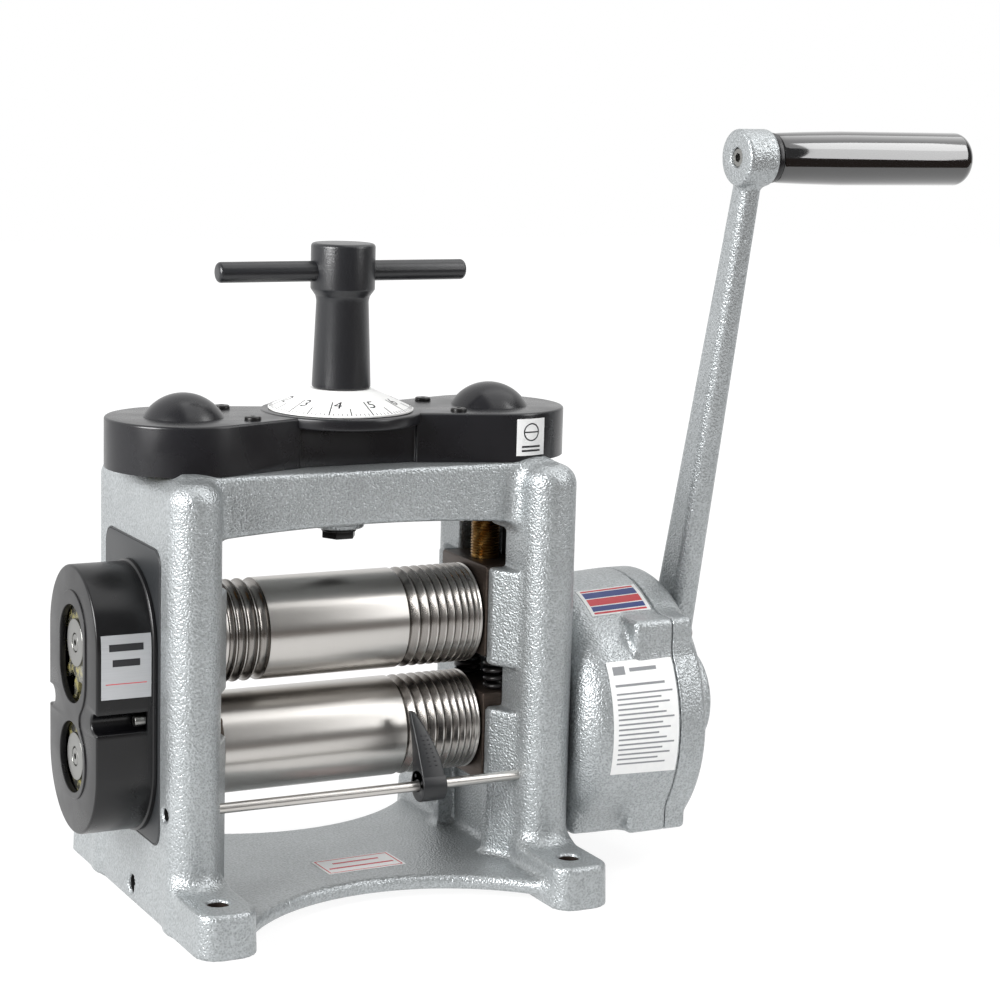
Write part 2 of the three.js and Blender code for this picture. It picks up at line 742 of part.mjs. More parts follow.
// Gear cover: moulding over the roll gears, with a window over each roll's end and a screw channel
// down each side
const coverHalf = (gearCoverTop - gearCoverBottom) / 2 - gearCoverRadius;
const coverOutline = (inset) => stadium(0, coverMidZ, coverHalf, gearCoverRadius - inset);
const coverSolid = joined(
  solid(
    skinned([
      [coverOutline(gearCoverEdge), gearCoverX],
      [coverOutline(0), gearCoverX + gearCoverEdge],
      [coverOutline(0), gearCoverBackX],
    ]).applyMatrix4(alongX),
  ),
  prismX(coverOutline(-gearCoverLip), gearCoverBackX - 2 * gearCoverLip, gearCoverBackX),
);
const upperWindow = [slotZ - upperWindowDrop, slotHalf + upperWindowRoom];
const waistTop = upperWindow[0] - upperWindow[1] - windowRadius;
const inRim = [gearCoverX - rimRise, gearCoverX + over];
const rim = joined(
  prismX(stadium(0, upperWindow[0], upperWindow[1] + rimLength, windowRadius + rimWidth), ...inRim),
  prismX(circle(0, lowerAxisZ, windowRadius + rimWidth), ...inRim),
  box(...inRim, -rimWaist, rimWaist, lowerAxisZ + windowRadius, waistTop),
);
const channel = (radius, way, x0, x1) =>
  joined(
    pegX(x0, x1, radius, way * channelY, coverScrewZ, smallSides),
    box(x0, x1, way * channelY, way * (gearCoverRadius + over), coverScrewZ - radius, coverScrewZ + radius),
  );
const throughFace = [gearCoverX - rimRise - over, gearCoverX + gearCoverWall + over];
let gearCover = cut(
  joined(coverSolid, rim),
  prismX(coverOutline(gearCoverWall), gearCoverX + gearCoverWall, gearCoverBackX + over),
  prismX(stadium(0, ...upperWindow, windowRadius), ...throughFace),
  prismX(circle(0, lowerAxisZ, windowRadius), ...throughFace),
);
for (const way of ways) {
  const wall = channel(channelRadius + channelWall, way, gearCoverX + over, gearCoverBackX - over);
  gearCover = gearCover.add(wall.intersect(coverSolid));
}
for (const way of ways)
  gearCover = cut(
    gearCover,
    channel(channelRadius, way, gearCoverX - rimRise - over, channelFloorX),
    pegX(channelFloorX - over, gearCoverBackX + over, coverScrewShank + running, way * channelY, coverScrewZ,
      tinySides),
  );
place(mill, "gear_cover", gearCover, blackMoulding);
for (const [index, way] of ways.entries()) {
  const screw = capScrewX(channelFloorX - seat - coverScrewHeadLength, 1, coverScrewHead,
    coverScrewHeadLength, coverScrewShank, coverScrewLength);
  place(mill, `gear_cover_screw_${index + 1}`, screw, machinedSteel, 0, way * channelY, coverScrewZ);
}

// Rolls: hardened and ground, with V grooves for square wire, and half-round grooves on the upper one
const rowLength = (count, widest, step) =>
  count * widest - (step * count * (count - 1)) / 2 + (count - 1) * grooveLand;

function squareProfile() {
  const profile = [];
  let x = rollEndX - squareMargin - rowLength(squareGrooves, squareWidest, squareStep);
  for (let i = 0; i < squareGrooves; i++) {
    const width = squareWidest - squareStep * i;
    profile.push([x, rollRadius], [x + width / 2, rollRadius - width / 2], [x + width, rollRadius]);
    x += width + grooveLand;
  }
  return profile;
}

function halfRoundProfile() {
  const profile = [];
  let x = -rollEndX + halfRoundMargin + rowLength(halfRoundGrooves, halfRoundWidest, halfRoundStep);
  for (let i = 0; i < halfRoundGrooves; i++) {
    const width = halfRoundWidest - halfRoundStep * i;
    const bottom = arc(x - width / 2, rollRadius, width / 2, 0, -180, 6);
    profile.unshift(...bottom.map((p) => [p.x, p.y]).reverse());
    x -= width + grooveLand;
  }
  return profile;
}

// Each journal carries its gear on the left; the lower one carries the planet carrier on the right
function roll(grooves, rightEnd) {
  const gearEnd = rollGearX + seat;
  const gearShoulder = rollGearX + rollGearWidth + seat;
  const profile = [
    [gearEnd, 0], [gearEnd, gearSeatRadius], [gearShoulder, gearSeatRadius], [gearShoulder, journalRadius],
    [-rollEndX, journalRadius], [-rollEndX, rollRadius], ...grooves, [rollEndX, rollRadius],
    [rollEndX, journalRadius], ...rightEnd,
  ];
  const hole = pegX(gearEnd - over, gearEnd + endScrewLength, endScrewShank + running, 0, 0, tinySides);
  return cut(turnedX(profile, 0, 0, rollSides), hole);
}
const shortEnd = [[blockX + blockDepth, journalRadius], [blockX + blockDepth, 0]];
const carrierSeat = carrierX - seat;
const rollRightX = carrierX + carrierThickness - endFloat;
const longEnd = [[carrierSeat, journalRadius], [carrierSeat, gearSeatRadius], [rollRightX, gearSeatRadius],
  [rollRightX, 0]];
const rolls = {
  upper: { z: upperAxisZ, way: 1, grooves: [...halfRoundProfile(), ...squareProfile()], end: shortEnd },
  lower: { z: lowerAxisZ, way: -1, grooves: squareProfile(), end: longEnd },
};

const rollGear = (phase) =>
  cut(
    prismX(
      gearOutline({
        teeth: rollGearTeeth,
        pitch: closestRolls / 2,
        addendum: rollGearAddendum,
        dedendum: rollGearDedendum,
        backlash: rollGearBacklash,
        pressure: rollGearPressure,
        levels: 3,
        phase,
      }),
      rollGearX,
      rollGearX + rollGearWidth,
    ),
    pegX(rollGearX - over, rollGearX + rollGearWidth + over, gearSeatRadius + seat),
  );
const endCapX = rollGearX - seat - endCapThickness;
const endCap = cut(
  ringX(endCapX, rollGearX - seat, endScrewShank + running, endCapRadius, smallSides),
  pegX(endCapX - over, endCapX + endCapSink, endScrewHead + seat, 0, 0, smallSides),
);
const endScrew = capScrewX(endCapX + endScrewSink, 1, endScrewHead, endCapSink - endScrewSink - seat,
  endScrewShank, endScrewLength - tipGap);

for (const [name, { z, way, grooves, end }] of Object.entries(rolls)) {
  const group = assembly(0, 0, z);
  place(group, `${name}_roll`, roll(grooves, end), groundSteel);
  const gearPhase = way > 0 ? meshPhase(rollGearTeeth, 0, 90, rollGearTeeth) : 0;
  place(group, `${name}_roll_gear`, rollGear(gearPhase), machinedSteel);
  place(group, `${name}_end_cap`, endCap, machinedSteel);
  place(group, `${name}_end_screw`, endScrew, machinedSteel);
  for (const [sideName, side] of sidesOf) {
    const heights = [-way * blockInner, way * blockOuter].sort((a, b) => a - b);
    const outline = roundedRectangle(-blockWidth / 2, blockWidth / 2, ...heights, windowRound, tinySides);
    const block = cut(
      prismX(outline, side * blockX, side * (blockX + blockDepth)),
      pegX(side * (blockX - over), side * (blockX + blockDepth + over), bushRadius + seat),
    );
    place(group, `${name}_${sideName}_block`, block, castIron);
    const bush = ringX(-blockDepth / 2, blockDepth / 2, journalRadius + running, bushRadius);
    place(group, `${name}_${sideName}_bush`, bush, bronze, side * blockCentreX);
  }
}

// Springs between the blocks lift the upper roll when the screws are backed off. Each is one wire with
// its ends turned square to the blocks.
const springBottom = lowerAxisZ + blockInner + seat;
const springHeight = upperAxisZ - blockInner - seat - springBottom;

function springPath() {
  const rise = springHeight - 2 * springWire;
  const steps = springTurns * springSteps;
  const winding = Array.from({ length: steps + 1 }, (_, i) => {
    const angle = (2 * Math.PI * i) / springSteps;
    return new THREE.Vector3(
      springRadius * Math.cos(angle),
      springRadius * Math.sin(angle),
      springWire + (rise * i) / steps,
    );
  });
  const foot = winding[0].clone().setZ(0);
  const head = winding.at(-1).clone().setZ(springHeight);
  return [foot, ...winding, head];
}

// A tube along straight stretches, mitred where they meet
function mitredTube(path, radius, sides) {
  const way = path.slice(1).map((p, i) => p.clone().sub(path[i]).normalize());
  let ring = circle(path[0].x, path[0].y, radius, sides).map((p) => new THREE.Vector3(p.x, p.y, path[0].z));
  const rings = [ring];
  for (let i = 1; i < path.length; i++) {
    const run = way[i - 1];
    const normal = run.clone().add(way[i] ?? run).normalize();
    ring = ring.map((corner) => {
      const reach = path[i].clone().sub(corner).dot(normal) / run.dot(normal);
      return corner.clone().addScaledVector(run, reach);
    });
    rings.push(ring);
  }
  const faces = [];
  for (let r = 0; r + 1 < rings.length; r++) {
    for (let k = 0; k < sides; k++) {
      const [a, b] = [r * sides + k, r * sides + ((k + 1) % sides)];
      faces.push(a, b, b + sides, a, b + sides, a + sides);
    }
  }
  const last = (rings.length - 1) * sides;
  for (let k = 1; k + 1 < sides; k++) faces.push(0, k + 1, k, last, last + k, last + k + 1);
  const geometry = new THREE.BufferGeometry();
  const corners = rings.flat().flatMap((p) => [p.x, p.y, p.z]);
  geometry.setAttribute("position", new THREE.Float32BufferAttribute(corners, 3));
  geometry.setIndex(faces);
  return geometry;
}

const path = springPath();
let leastGap = Infinity;
path.forEach((p, i) =>
  path.slice(i + springSteps / 2).forEach((q) => {
    leastGap = Math.min(leastGap, p.distanceTo(q) - springWire);
  }),
);
console.log(`least gap between the turns of a spring: ${leastGap.toFixed(2)} mm`);
const spring = solid(mitredTube(path, springWire / 2, springSides));
for (const [name, side] of sidesOf) {
  place(mill, `${name}_front_spring`, spring, darkSteel, side * blockCentreX, -springY, springBottom);
  place(mill, `${name}_back_spring`, spring, darkSteel, side * blockCentreX, springY, springBottom);
}

// Screw-down: each pressure screw turns in a bronze nut in the frame and carries a gear, driven from the
// pinion on the tee handle's spindle through an idler
const trainGear = (teeth, phase, z0, z1) =>
  prismZ(
    gearOutline({
      teeth,
      pitch: (trainModule * teeth) / 2,
      addendum: trainModule * trainAddendum,
      dedendum: trainModule * (trainAddendum + trainClearance),
      backlash: trainBacklash,
      phase,
    }),
    z0,
    z1,
  );
const trainBottom = housingTop + trainLift;
const trainTop = roofUnder - trainDrop;
const screwBottom = upperAxisZ + blockOuter + seat;
const screwGearZ = roofUnder - screwGearDrop - screwGearThickness;
const screwTop = screwGearZ + screwGearThickness + screwTopRise;
for (const [name, side] of sidesOf) {
  const outwards = side < 0 ? 180 : 0;
  const idlerPhase = meshPhase(pinionTeeth, 0, outwards, idlerTeeth);
  const screw = pegZ(screwBottom, screwTop, screwRadius);
  place(mill, `${name}_pressure_screw`, screw, bronze, side * screwX);
  const gearPhase = meshPhase(idlerTeeth, idlerPhase, outwards, screwGearTeeth);
  const gear = cut(
    trainGear(screwGearTeeth, gearPhase, screwGearZ, screwGearZ + screwGearThickness),
    pegZ(screwGearZ - over, screwTop, screwRadius + seat),
  );
  place(mill, `${name}_screw_gear`, gear, machinedSteel, side * screwX);
  const nut = ringZ(beamBottom, housingTop - seat, screwRadius + running, nutRadius);
  place(mill, `${name}_screw_nut`, nut, bronze, side * screwX);
  const idler = joined(
    trainGear(idlerTeeth, idlerPhase, trainBottom, trainTop),
    pegZ(housingTop + seat, trainBottom + over, shoulderRadius, 0, 0, smallSides),
    pegZ(housingTop - idlerJournalLength, housingTop + over, idlerJournalRadius, 0, 0, smallSides),
  );
  place(mill, `${name}_idler`, idler, machinedSteel, side * idlerX);
}
const pinion = cut(
  joined(
    trainGear(pinionTeeth, 0, trainBottom, trainTop),
    pegZ(housingTop + seat, trainBottom + over, shoulderRadius, 0, 0, smallSides),
  ),
  pegZ(housingTop - over, coverTop, spindleRadius + seat),
);
place(mill, "centre_pinion", pinion, machinedSteel);
const nutTop = bossBottom - seat;
const spindle = turnedZ([[0, spindleBottom], [spindleThread, spindleBottom], [spindleThread, nutTop],
  [spindleRadius, nutTop], [spindleRadius, spindleTop], [0, spindleTop]], 0, 0, smallSides);
place(mill, "spindle", spindle, machinedSteel);
const spindleNut = cut(
  prismZ(circle(0, 0, spindleNutRadius, 6), nutTop - spindleNutHeight + seat, nutTop - seat),
  pegZ(spindleBottom - over, housingTop, spindleThread + seat),
);
place(mill, "spindle_nut", spindleNut, darkSteel);

// Top cover: a two-lobed moulding with a dome over each pressure screw and a round for the dial
function topOutline(inset) {
  const span = Math.hypot(screwX - waistX, waistY);
  const turn = Math.atan2(screwX - waistX, waistY) + Math.asin(lobeRadius / span);
  const lean = THREE.MathUtils.radToDeg(turn);
  const radius = lobeRadius - inset;
  const right = arc(screwX, 0, radius, -lean, lean, wideSides);
  const left = arc(-screwX, 0, radius, 180 - lean, 180 + lean, wideSides);
  const step = (x, y) => point(x, y - Math.sign(y) * inset);
  return [
    ...right,
    step(waistX, waistY), step(waistX, panelY), step(-waistX, panelY), step(-waistX, waistY),
    ...left,
    step(-waistX, -waistY), step(-waistX, -panelY), step(waistX, -panelY), step(waistX, -waistY),
  ];
}
const domeSphere = (domeRadius ** 2 + domeHeight ** 2) / (2 * domeHeight);
const domeCentreZ = coverTop + domeHeight - domeSphere;
function dome(radius, z0, side) {
  const start = THREE.MathUtils.radToDeg(Math.asin((z0 - domeCentreZ) / radius));
  const round = arc(0, domeCentreZ, radius, start, 90).map((p) => [p.x, p.y]);
  round.at(-1)[0] = 0;
  return turnedZ([[0, z0], ...round], side * screwX, 0, roundSides);
}
let topCover = joined(
  solid(
    skinned([
      [topOutline(0), coverBottom],
      [topOutline(0), coverTop - coverEdge],
      [topOutline(coverEdge), coverTop],
    ]),
  ),
  turnedZ([[0, coverTop - discThickness], [discRadius, coverTop - discThickness],
    [discRadius, coverTop - coverEdge], [discRadius - coverEdge, coverTop], [0, coverTop]], 0, 0, wideSides),
  dome(domeSphere, coverTop - over, -1),
  dome(domeSphere, coverTop - over, 1),
);
topCover = cut(
  topCover,
  prismZ(topOutline(coverWall), coverBottom - over, roofUnder),
  dome(domeSphere - domeWall, roofUnder - over, -1),
  dome(domeSphere - domeWall, roofUnder - over, 1),
  pegZ(roofUnder - over, coverTop + over, spindleRadius + running),
);
for (const [, side] of sidesOf) {
  for (const way of ways) {
    const [x, y] = [side * topScrewX, way * topScrewY];
    topCover = cut(
      joined(topCover, pegZ(coverBottom, coverTop - over, screwPillar, x, y, tinySides)),
      pegZ(coverBottom - over, coverTop + over, topScrewShank + running, x, y, tinySides),
    );
  }
}
place(mill, "top_cover", topCover, blackMoulding);

// Dial and tee handle, fixed on the spindle
const dialBore = spindleRadius + seat;
const dial = turnedZ([[dialBore, dialBottom], [dialRadius, dialBottom], [dialRadius, dialBottom + dialRim],
  [postRadius + dialFlat, dialBottom + dialHeight], [dialBore, dialBottom + dialHeight],
  [dialBore, dialBottom]], 0, 0, wideSides);
place(mill, "dial", dial, dialWhite);
const post = cut(
  turnedZ([[0, postBottom], [postRadius - teeRound, postBottom], [postRadius, postBottom + teeRound],
    [neckRadius, neckTop], [neckRadius + neckFlare, neckTop + neckFlareRise], [headRadius, headBottom],
    [headRadius, teeTop - teeRound], [headRadius - teeRound, teeTop], [0, teeTop]]),
  pegZ(postBottom - over, spindleTop + seat, spindleRadius + seat),
  pegX(-headRadius - over, headRadius + over, teeBarRadius + seat, 0, teeBarZ, smallSides),
);
place(mill, "tee_post", post, darkSteel);
const barEnd = (side) => [
  [side * teeBarHalf, 0], [side * teeBarHalf, teeBarRadius - teeBarRound],
  [side * (teeBarHalf - teeBarRound), teeBarRadius],
];
const teeBar = turnedX([...barEnd(-1), ...barEnd(1).reverse()], 0, 0, smallSides);
place(mill, "tee_bar", teeBar, darkSteel, 0, 0, teeBarZ);

// Gearbox: a drafted round housing with four corner lugs and a flat underside, and its lid
const gearbox = assembly(0, 0, lowerAxisZ);
const lugCorners = ways.flatMap((y) => [
  { y, z: -1, outer: boxBottom, round: lowerLugRound },
  { y, z: 1, outer: lugTop, round: lugRound },
]);
const lugs = (x0, x1) =>
  lugCorners.map(({ y, z, outer, round }) => {
    const outline = roundedRectangle(lugHalf - lugSize, lugHalf, outer - lugSize, outer, round, tinySides);
    const lug = prismX(outline.map((p) => point(y * p.x, z * p.y)), x0, x1);
    return cut(lug, pegX(x0 - over, x1 + over, boxBore, 0, 0, wideSides));
  });
const lugHoles = (x0, x1) =>
  lugCorners.map(({ y, z, outer }) =>
    pegX(x0, x1, boxScrewRadius, y * (lugHalf - boxScrewInset), z * (outer - boxScrewInset), tinySides),
  );
const underside = (x0, x1) =>
  box(x0, x1, -boxRadius - over, boxRadius + over, -boxRadius - lugSize, -boxBottom);
const radiusAt = (x) => boxRadius - boxDraft * (boxSeamX - x);
const roundX = boxBackX + boxBackRound;
const backRound = arc(roundX, radiusAt(roundX) - boxBackRound, boxBackRound, 180, 90, smallSides);
const bossBore = journalRadius + 2 * running;
const bossFaceX = carrierX - endFloat;
const floorX = boxBackX + boxBackWall;
const bodyShell = turnedX(
  [[boxBackX, bossBore], ...backRound.map((p) => [p.x, p.y]), [boxSeamX, boxRadius], [boxSeamX, boxBore],
    [floorX, boxBore], [floorX, bossRadius], [bossFaceX, bossRadius], [bossFaceX, bossBore],
    [boxBackX, bossBore]],
  0,
  0,
  wideSides,
);
const body = cut(
  joined(bodyShell, ...lugs(lugBackX, boxSeamX)),
  underside(boxBackX - over, boxSeamX + over),
  ...lugHoles(lugBackX + boxScrewInset, boxSeamX + over),
);
place(gearbox, "gearbox_body", body, hammeredEnamel);
const lidX = boxSeamX + seat;
const lidHub = lidX + lidHubX;
const lidBore = shaftRadius + running + shaftBushWall + seat;
const lidFace = boxFaceX - lidWall;
const lidShell = turnedX(
  [[lidX, boxBore], [lidX, boxRadius], ...lidEdge.map(([x, r]) => [boxFaceX - x, boxRadius - r]),
    [boxFaceX, lidBore], [lidHub, lidBore], [lidHub, bossRadius], [lidFace, bossRadius], [lidFace, boxBore],
    [lidX, boxBore]],
  0,
  0,
  wideSides,
);
const lid = cut(
  joined(lidShell, ...lugs(lidX, lugFaceX)),
  underside(lidX - over, boxFaceX + over),
  ...lugHoles(lidX - over, lugFaceX + over),
);
place(gearbox, "gearbox_cover", lid, hammeredEnamel);
const shaftBush = ringX(lidHub, boxFaceX - seat, shaftRadius + running, lidBore - seat);
place(gearbox, "crank_shaft_bush", shaftBush, bronze);

// Epicyclic train: the crank turns the sun, and the planets roll in the fixed ring and turn the carrier,
// which is keyed to the lower roll
const boxGear = (teeth, extra) =>
  gearOutline({
    teeth,
    pitch: (gearModule * teeth) / 2,
    addendum: gearModule * gearAddendum,
    dedendum: gearModule * gearDedendum,
    backlash: gearBacklash,
    ...extra,
  });
const ringSpace = boxGear(ringTeeth, {
  addendum: gearModule * gearDedendum,
  dedendum: gearModule * ringAddendum,
  backlash: -gearBacklash,
  phase: 180 / ringTeeth,
});
const ringGear = cut(
  pegX(gearX, gearX + gearWidth, ringRadius, 0, 0, wideSides),
  prismX(ringSpace, gearX - over, gearX + gearWidth + over),
);
place(gearbox, "ring_gear", ringGear, machinedSteel);
const planetPlaces = Array.from({ length: planets }, (_, i) => (360 * i) / planets);
const carrierPins = planetPlaces.map((angle) => {
  const at = arc(0, 0, planetCentre, angle, angle)[0];
  return pegX(carrierX + over, pinEndX, pinRadius, at.x, at.y, smallSides);
});
const carrierRadius = planetCentre + pinRadius + carrierMargin;
const carrierDisc = ringX(carrierX, carrierX + carrierThickness, gearSeatRadius + seat, carrierRadius);
const carrier = joined(carrierDisc, ...carrierPins);
place(gearbox, "planet_carrier", carrier, machinedSteel);
planetPlaces.forEach((angle, i) => {
  const at = arc(0, 0, planetCentre, angle, angle)[0];
  const outline = boxGear(planetTeeth, { phase: meshPhase(sunTeeth, 0, angle, planetTeeth) });
  const planet = cut(
    prismX(outline, gearX, gearX + gearWidth),
    pegX(gearX - over, gearX + gearWidth + over, pinRadius + running, 0, 0, smallSides),
  );
  place(gearbox, `planet_gear_${i + 1}`, planet, machinedSteel, 0, at.x, at.y);
});

// Crank: a shaft with the sun gear, a cast arm keyed on it, and a grip that turns on a bolt in the eye
const crank = assembly(0, 0, lowerAxisZ);
crank.rotation.x = inRadians(armLean);
const shaftEnd = hubX + hubBoreDepth - seat;
const shaftBody = cut(
  joined(
    prismX(boxGear(sunTeeth, { phase: -armLean }), gearX, gearX + gearWidth),
    pegX(gearX + gearWidth - over, shaftEnd, shaftRadius),
  ),
  pegX(shaftEnd - endScrewLength, shaftEnd + over, hubScrewShank + running, 0, 0, tinySides),
);
place(crank, "crank_shaft", shaftBody, machinedSteel);
const armSection = (width, depth) => {
  const [halfDepth, halfWidth] = [depth / 2, width / 2];
  const round = depth * armRounding;
  return roundedRectangle(armX - halfDepth, armX + halfDepth, -halfWidth, halfWidth, round, tinySides);
};
const hubFaceX = hubX + hubLength;
const boss = (x0, x1, radius, edge, z) => {
  const ends = [[x0, 0], [x0, radius - edge], [x0 + edge, radius]];
  return turnedX([...ends, [x1 - edge, radius], [x1, radius - edge], [x1, 0]], 0, z);
};
const arm = cut(
  joined(
    solid(
      skinned([
        [armSection(armRootWidth, armRootDepth), 0],
        [armSection(armTipWidth, armTipDepth), armLength - eyeRadius],
        [armSection(armTipWidth + armTipFlare, armTipDepth), armLength],
      ]),
    ),
    boss(hubX, hubFaceX, hubRadius, hubEdge, 0),
    boss(eyeX, eyeX + eyeLength, eyeRadius, eyeEdge, armLength),
  ),
  pegX(hubX - over, hubX + hubBoreDepth, shaftRadius + seat),
  pegX(hubX, hubFaceX + over, hubScrewShank + seat, 0, 0, tinySides),
  pegX(eyeX - over, eyeX + eyeLength + over, handleBoltRadius + seat, 0, armLength, smallSides),
);
place(crank, "crank_arm", arm, hammeredEnamel);
const hubScrew = capScrewX(hubFaceX + seat + hubScrewHeadLength, -1, hubScrewHead, hubScrewHeadLength,
  hubScrewShank, endScrewLength);
place(crank, "crank_screw", hubScrew, darkSteel);
const collarX = eyeX + eyeLength + seat;
const gripX = collarX + collarThickness + seat;
const gripEnd = gripX + gripLength;
const boltEnd = gripEnd - handleBoltTail;
const boltHeadX = eyeX + handleBoltRecess;
const bolt = cut(
  pegX(boltHeadX, boltEnd, handleBoltRadius, 0, 0, smallSides),
  pegX(boltHeadX - over, boltHeadX + boltSocketDepth, boltSocketRadius, 0, 0, 6),
);
place(crank, "handle_bolt", bolt, machinedSteel, 0, 0, armLength);
const collar = ringX(collarX, collarX + collarThickness, handleBoltRadius + seat, collarRadius, smallSides);
place(crank, "handle_collar", collar, blackMoulding, 0, 0, armLength);
const gripNose = arc(gripEnd - gripRound, gripRadius - gripRound, gripRound, 90, 0);
const grip = cut(
  turnedX([[gripX, 0], [gripX, gripNeckRadius], [gripX + gripSwell[0], gripSwell[1]],
    [gripX + gripFull, gripRadius], ...gripNose.map((p) => [p.x, p.y]), [gripEnd, 0]]),
  pegX(gripX - over, boltEnd + seat, handleBoltRadius + running, 0, 0, smallSides),
);
place(crank, "grip", grip, gripPlastic, 0, 0, armLength);

// Wire guide: a pointed finger on a rod through the front pillars
const wireGuide = assembly(0, rodY, rodZ);
place(wireGuide, "guide_rod", pegX(rodLeftX, rodRightX, rodRadius, 0, 0, smallSides), groundSteel);
const fingerLeft = fingerX - fingerWidth / 2;
const fingerSection = ([width, thickness, y, z]) => [
  [
    point(fingerLeft, y - thickness / 2),
    point(fingerLeft + width, y - thickness / 2),
    point(fingerLeft + width, y + thickness / 2),
    point(fingerLeft, y + thickness / 2),
  ],
  z,
];
const finger = solid(skinned([[fingerWidth, fingerRoot, 0, 0], fingerWaist, fingerTip].map(fingerSection)));
const barrel = pegX(fingerLeft, fingerLeft + fingerWidth, fingerBarrel);
const fingerRight = fingerLeft + fingerWidth;
const bore = pegX(fingerLeft - over, fingerRight + over, rodRadius + running, 0, 0, smallSides);
place(wireGuide, "wire_guide", cut(joined(barrel, finger), bore), blackMoulding);

export default mill;
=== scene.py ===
import math

import bmesh
import bpy
import numpy as np
from mathutils import Matrix, Vector
from mathutils.geometry import tessellate_polygon


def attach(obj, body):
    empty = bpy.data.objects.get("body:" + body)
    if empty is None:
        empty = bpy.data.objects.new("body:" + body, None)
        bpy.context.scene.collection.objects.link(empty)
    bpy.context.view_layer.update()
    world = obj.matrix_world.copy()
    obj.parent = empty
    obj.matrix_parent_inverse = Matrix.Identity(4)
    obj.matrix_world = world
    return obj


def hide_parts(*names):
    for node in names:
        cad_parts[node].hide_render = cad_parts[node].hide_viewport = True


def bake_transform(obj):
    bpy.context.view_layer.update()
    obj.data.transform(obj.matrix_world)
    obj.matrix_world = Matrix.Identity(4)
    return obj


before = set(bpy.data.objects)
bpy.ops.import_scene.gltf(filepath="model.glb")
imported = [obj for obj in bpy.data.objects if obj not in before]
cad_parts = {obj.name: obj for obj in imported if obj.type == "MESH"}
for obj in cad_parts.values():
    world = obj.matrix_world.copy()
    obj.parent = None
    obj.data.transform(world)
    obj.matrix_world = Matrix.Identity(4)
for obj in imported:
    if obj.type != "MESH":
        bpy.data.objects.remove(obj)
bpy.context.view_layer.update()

# Frame casting. One grey-iron sand casting: two housings with round pillars, the bridge between them,
# the base plate and four feet. Its fillets and rounded edges are cast, its windows and bolt holes are
# machined, and all of it is sprayed with hammered enamel. Sizes are in millimetres throughout.
MM = 0.001


def linear(code):
    """Scene-linear colour of an sRGB hex value."""
    channels = [int(code[i : i + 2], 16) / 255 for i in (1, 3, 5)]
    return [c / 12.92 if c <= 0.04045 else ((c + 0.055) / 1.055) ** 2.4 for c in channels] + [1]


def add(material, kind, inputs=None, **settings):
    """One more node of a material, with its settings, its input values and its links."""
    node = material.node_tree.nodes.new("ShaderNode" + kind)
    for name, value in settings.items():
        setattr(node, name, value)
    for socket, value in (inputs or {}).items():
        if isinstance(value, bpy.types.NodeSocket):
            material.node_tree.links.new(value, node.inputs[socket])
        else:
            node.inputs[socket].default_value = value
    return node


def blank(name):
    """A material with no nodes yet."""
    material = bpy.data.materials.new(name)
    material.use_nodes = True
    material.node_tree.nodes.clear()
    return material


def shown(material, values):
    """Gives a material its surface shader, with these values and links."""
    shader = add(material, "BsdfPrincipled", values)
    add(material, "OutputMaterial", {"Surface": shader.outputs["BSDF"]})
    return material


# Hammered enamel: an alkyd enamel with aluminium flake that draws into dimples about 1.2 mm across as it
# dries. It reads as a neutral silver grey, with a small glint where a dimple's rim meets the light. Its
# colour is painted darker in each dimple and lighter on each rim: a painted shade and painted highlight on
# the relief.
enamel = blank("hammered_enamel_on_cast_iron")
at = add(enamel, "TexCoord").outputs["Object"]
dimple = add(enamel, "TexVoronoi", {"Vector": at, "Scale": 1 / (1.2 * MM), "Smoothness": 0.7},
    feature="SMOOTH_F1")
wrinkle = add(enamel, "TexNoise", {"Vector": at, "Scale": 1 / (1.7 * MM), "Detail": 2.0})
cloud = add(enamel, "TexNoise", {"Vector": at, "Scale": 1 / (30 * MM), "Detail": 3.0})
height = add(enamel, "Math", {0: dimple.outputs["Distance"], 1: wrinkle.outputs["Fac"]},
    operation="ADD")
bump = add(enamel, "Bump", {"Height": height.outputs[0], "Strength": 1.0, "Distance": 0.38 * MM})
# Painted shade and highlight: the colour follows the dimples' height, darker in the hollows, lighter on the
# rims.
dimple_shade_and_rim_highlight = add(enamel, "MapRange", {"Value": height.outputs[0], "From Min": 0.6, "From Max": 1.2})
tone = add(enamel, "MixRGB", {"Fac": dimple_shade_and_rim_highlight.outputs[0], "Color1": linear("#969a9b"),
    "Color2": linear("#b2b6b8")})
patchy = add(enamel, "MapRange", {"Value": cloud.outputs["Fac"], "From Min": 0.3, "From Max": 0.7,
    "To Min": 0.95, "To Max": 1.04})
colour = add(enamel, "VectorMath", {0: tone.outputs[0], "Scale": patchy.outputs[0]},
    operation="SCALE")
shown(enamel, {"Base Color": colour.outputs[0], "Metallic": 0.7, "Roughness": 0.39,
    "Normal": bump.outputs["Normal"]})


def piece(name, points, faces, finishes, sharp=None, finish_of_face=None):
    """A mesh object from points in millimetres. Edges sharper than the angle stay crisp."""
    mesh = bpy.data.meshes.new(name)
    mesh.from_pydata((np.asarray(points, float) * MM).tolist(), [], faces)
    for finish in finishes if isinstance(finishes, list) else [finishes]:
        mesh.materials.append(finish)
    if finish_of_face:
        mesh.polygons.foreach_set("material_index", finish_of_face)
    if sharp is not None:
        made = bmesh.new()
        made.from_mesh(mesh)
        bmesh.ops.recalc_face_normals(made, faces=made.faces)
        made.to_mesh(mesh)
        made.free()
    mesh.shade_smooth()
    if sharp is not None:
        mesh.set_sharp_from_angle(angle=math.radians(sharp))
    mesh.validate()
    made = bpy.data.objects.new(name, mesh)
    bpy.context.scene.collection.objects.link(made)
    return made


# A cast form is a field: the distance of a point from the surface, below zero inside the metal
def filleted(a, b, radius):
    """Both forms in one, with a fillet where they meet."""
    hollow = np.hypot(np.maximum(radius - a, 0), np.maximum(radius - b, 0))
    return np.maximum(radius, np.minimum(a, b)) - hollow


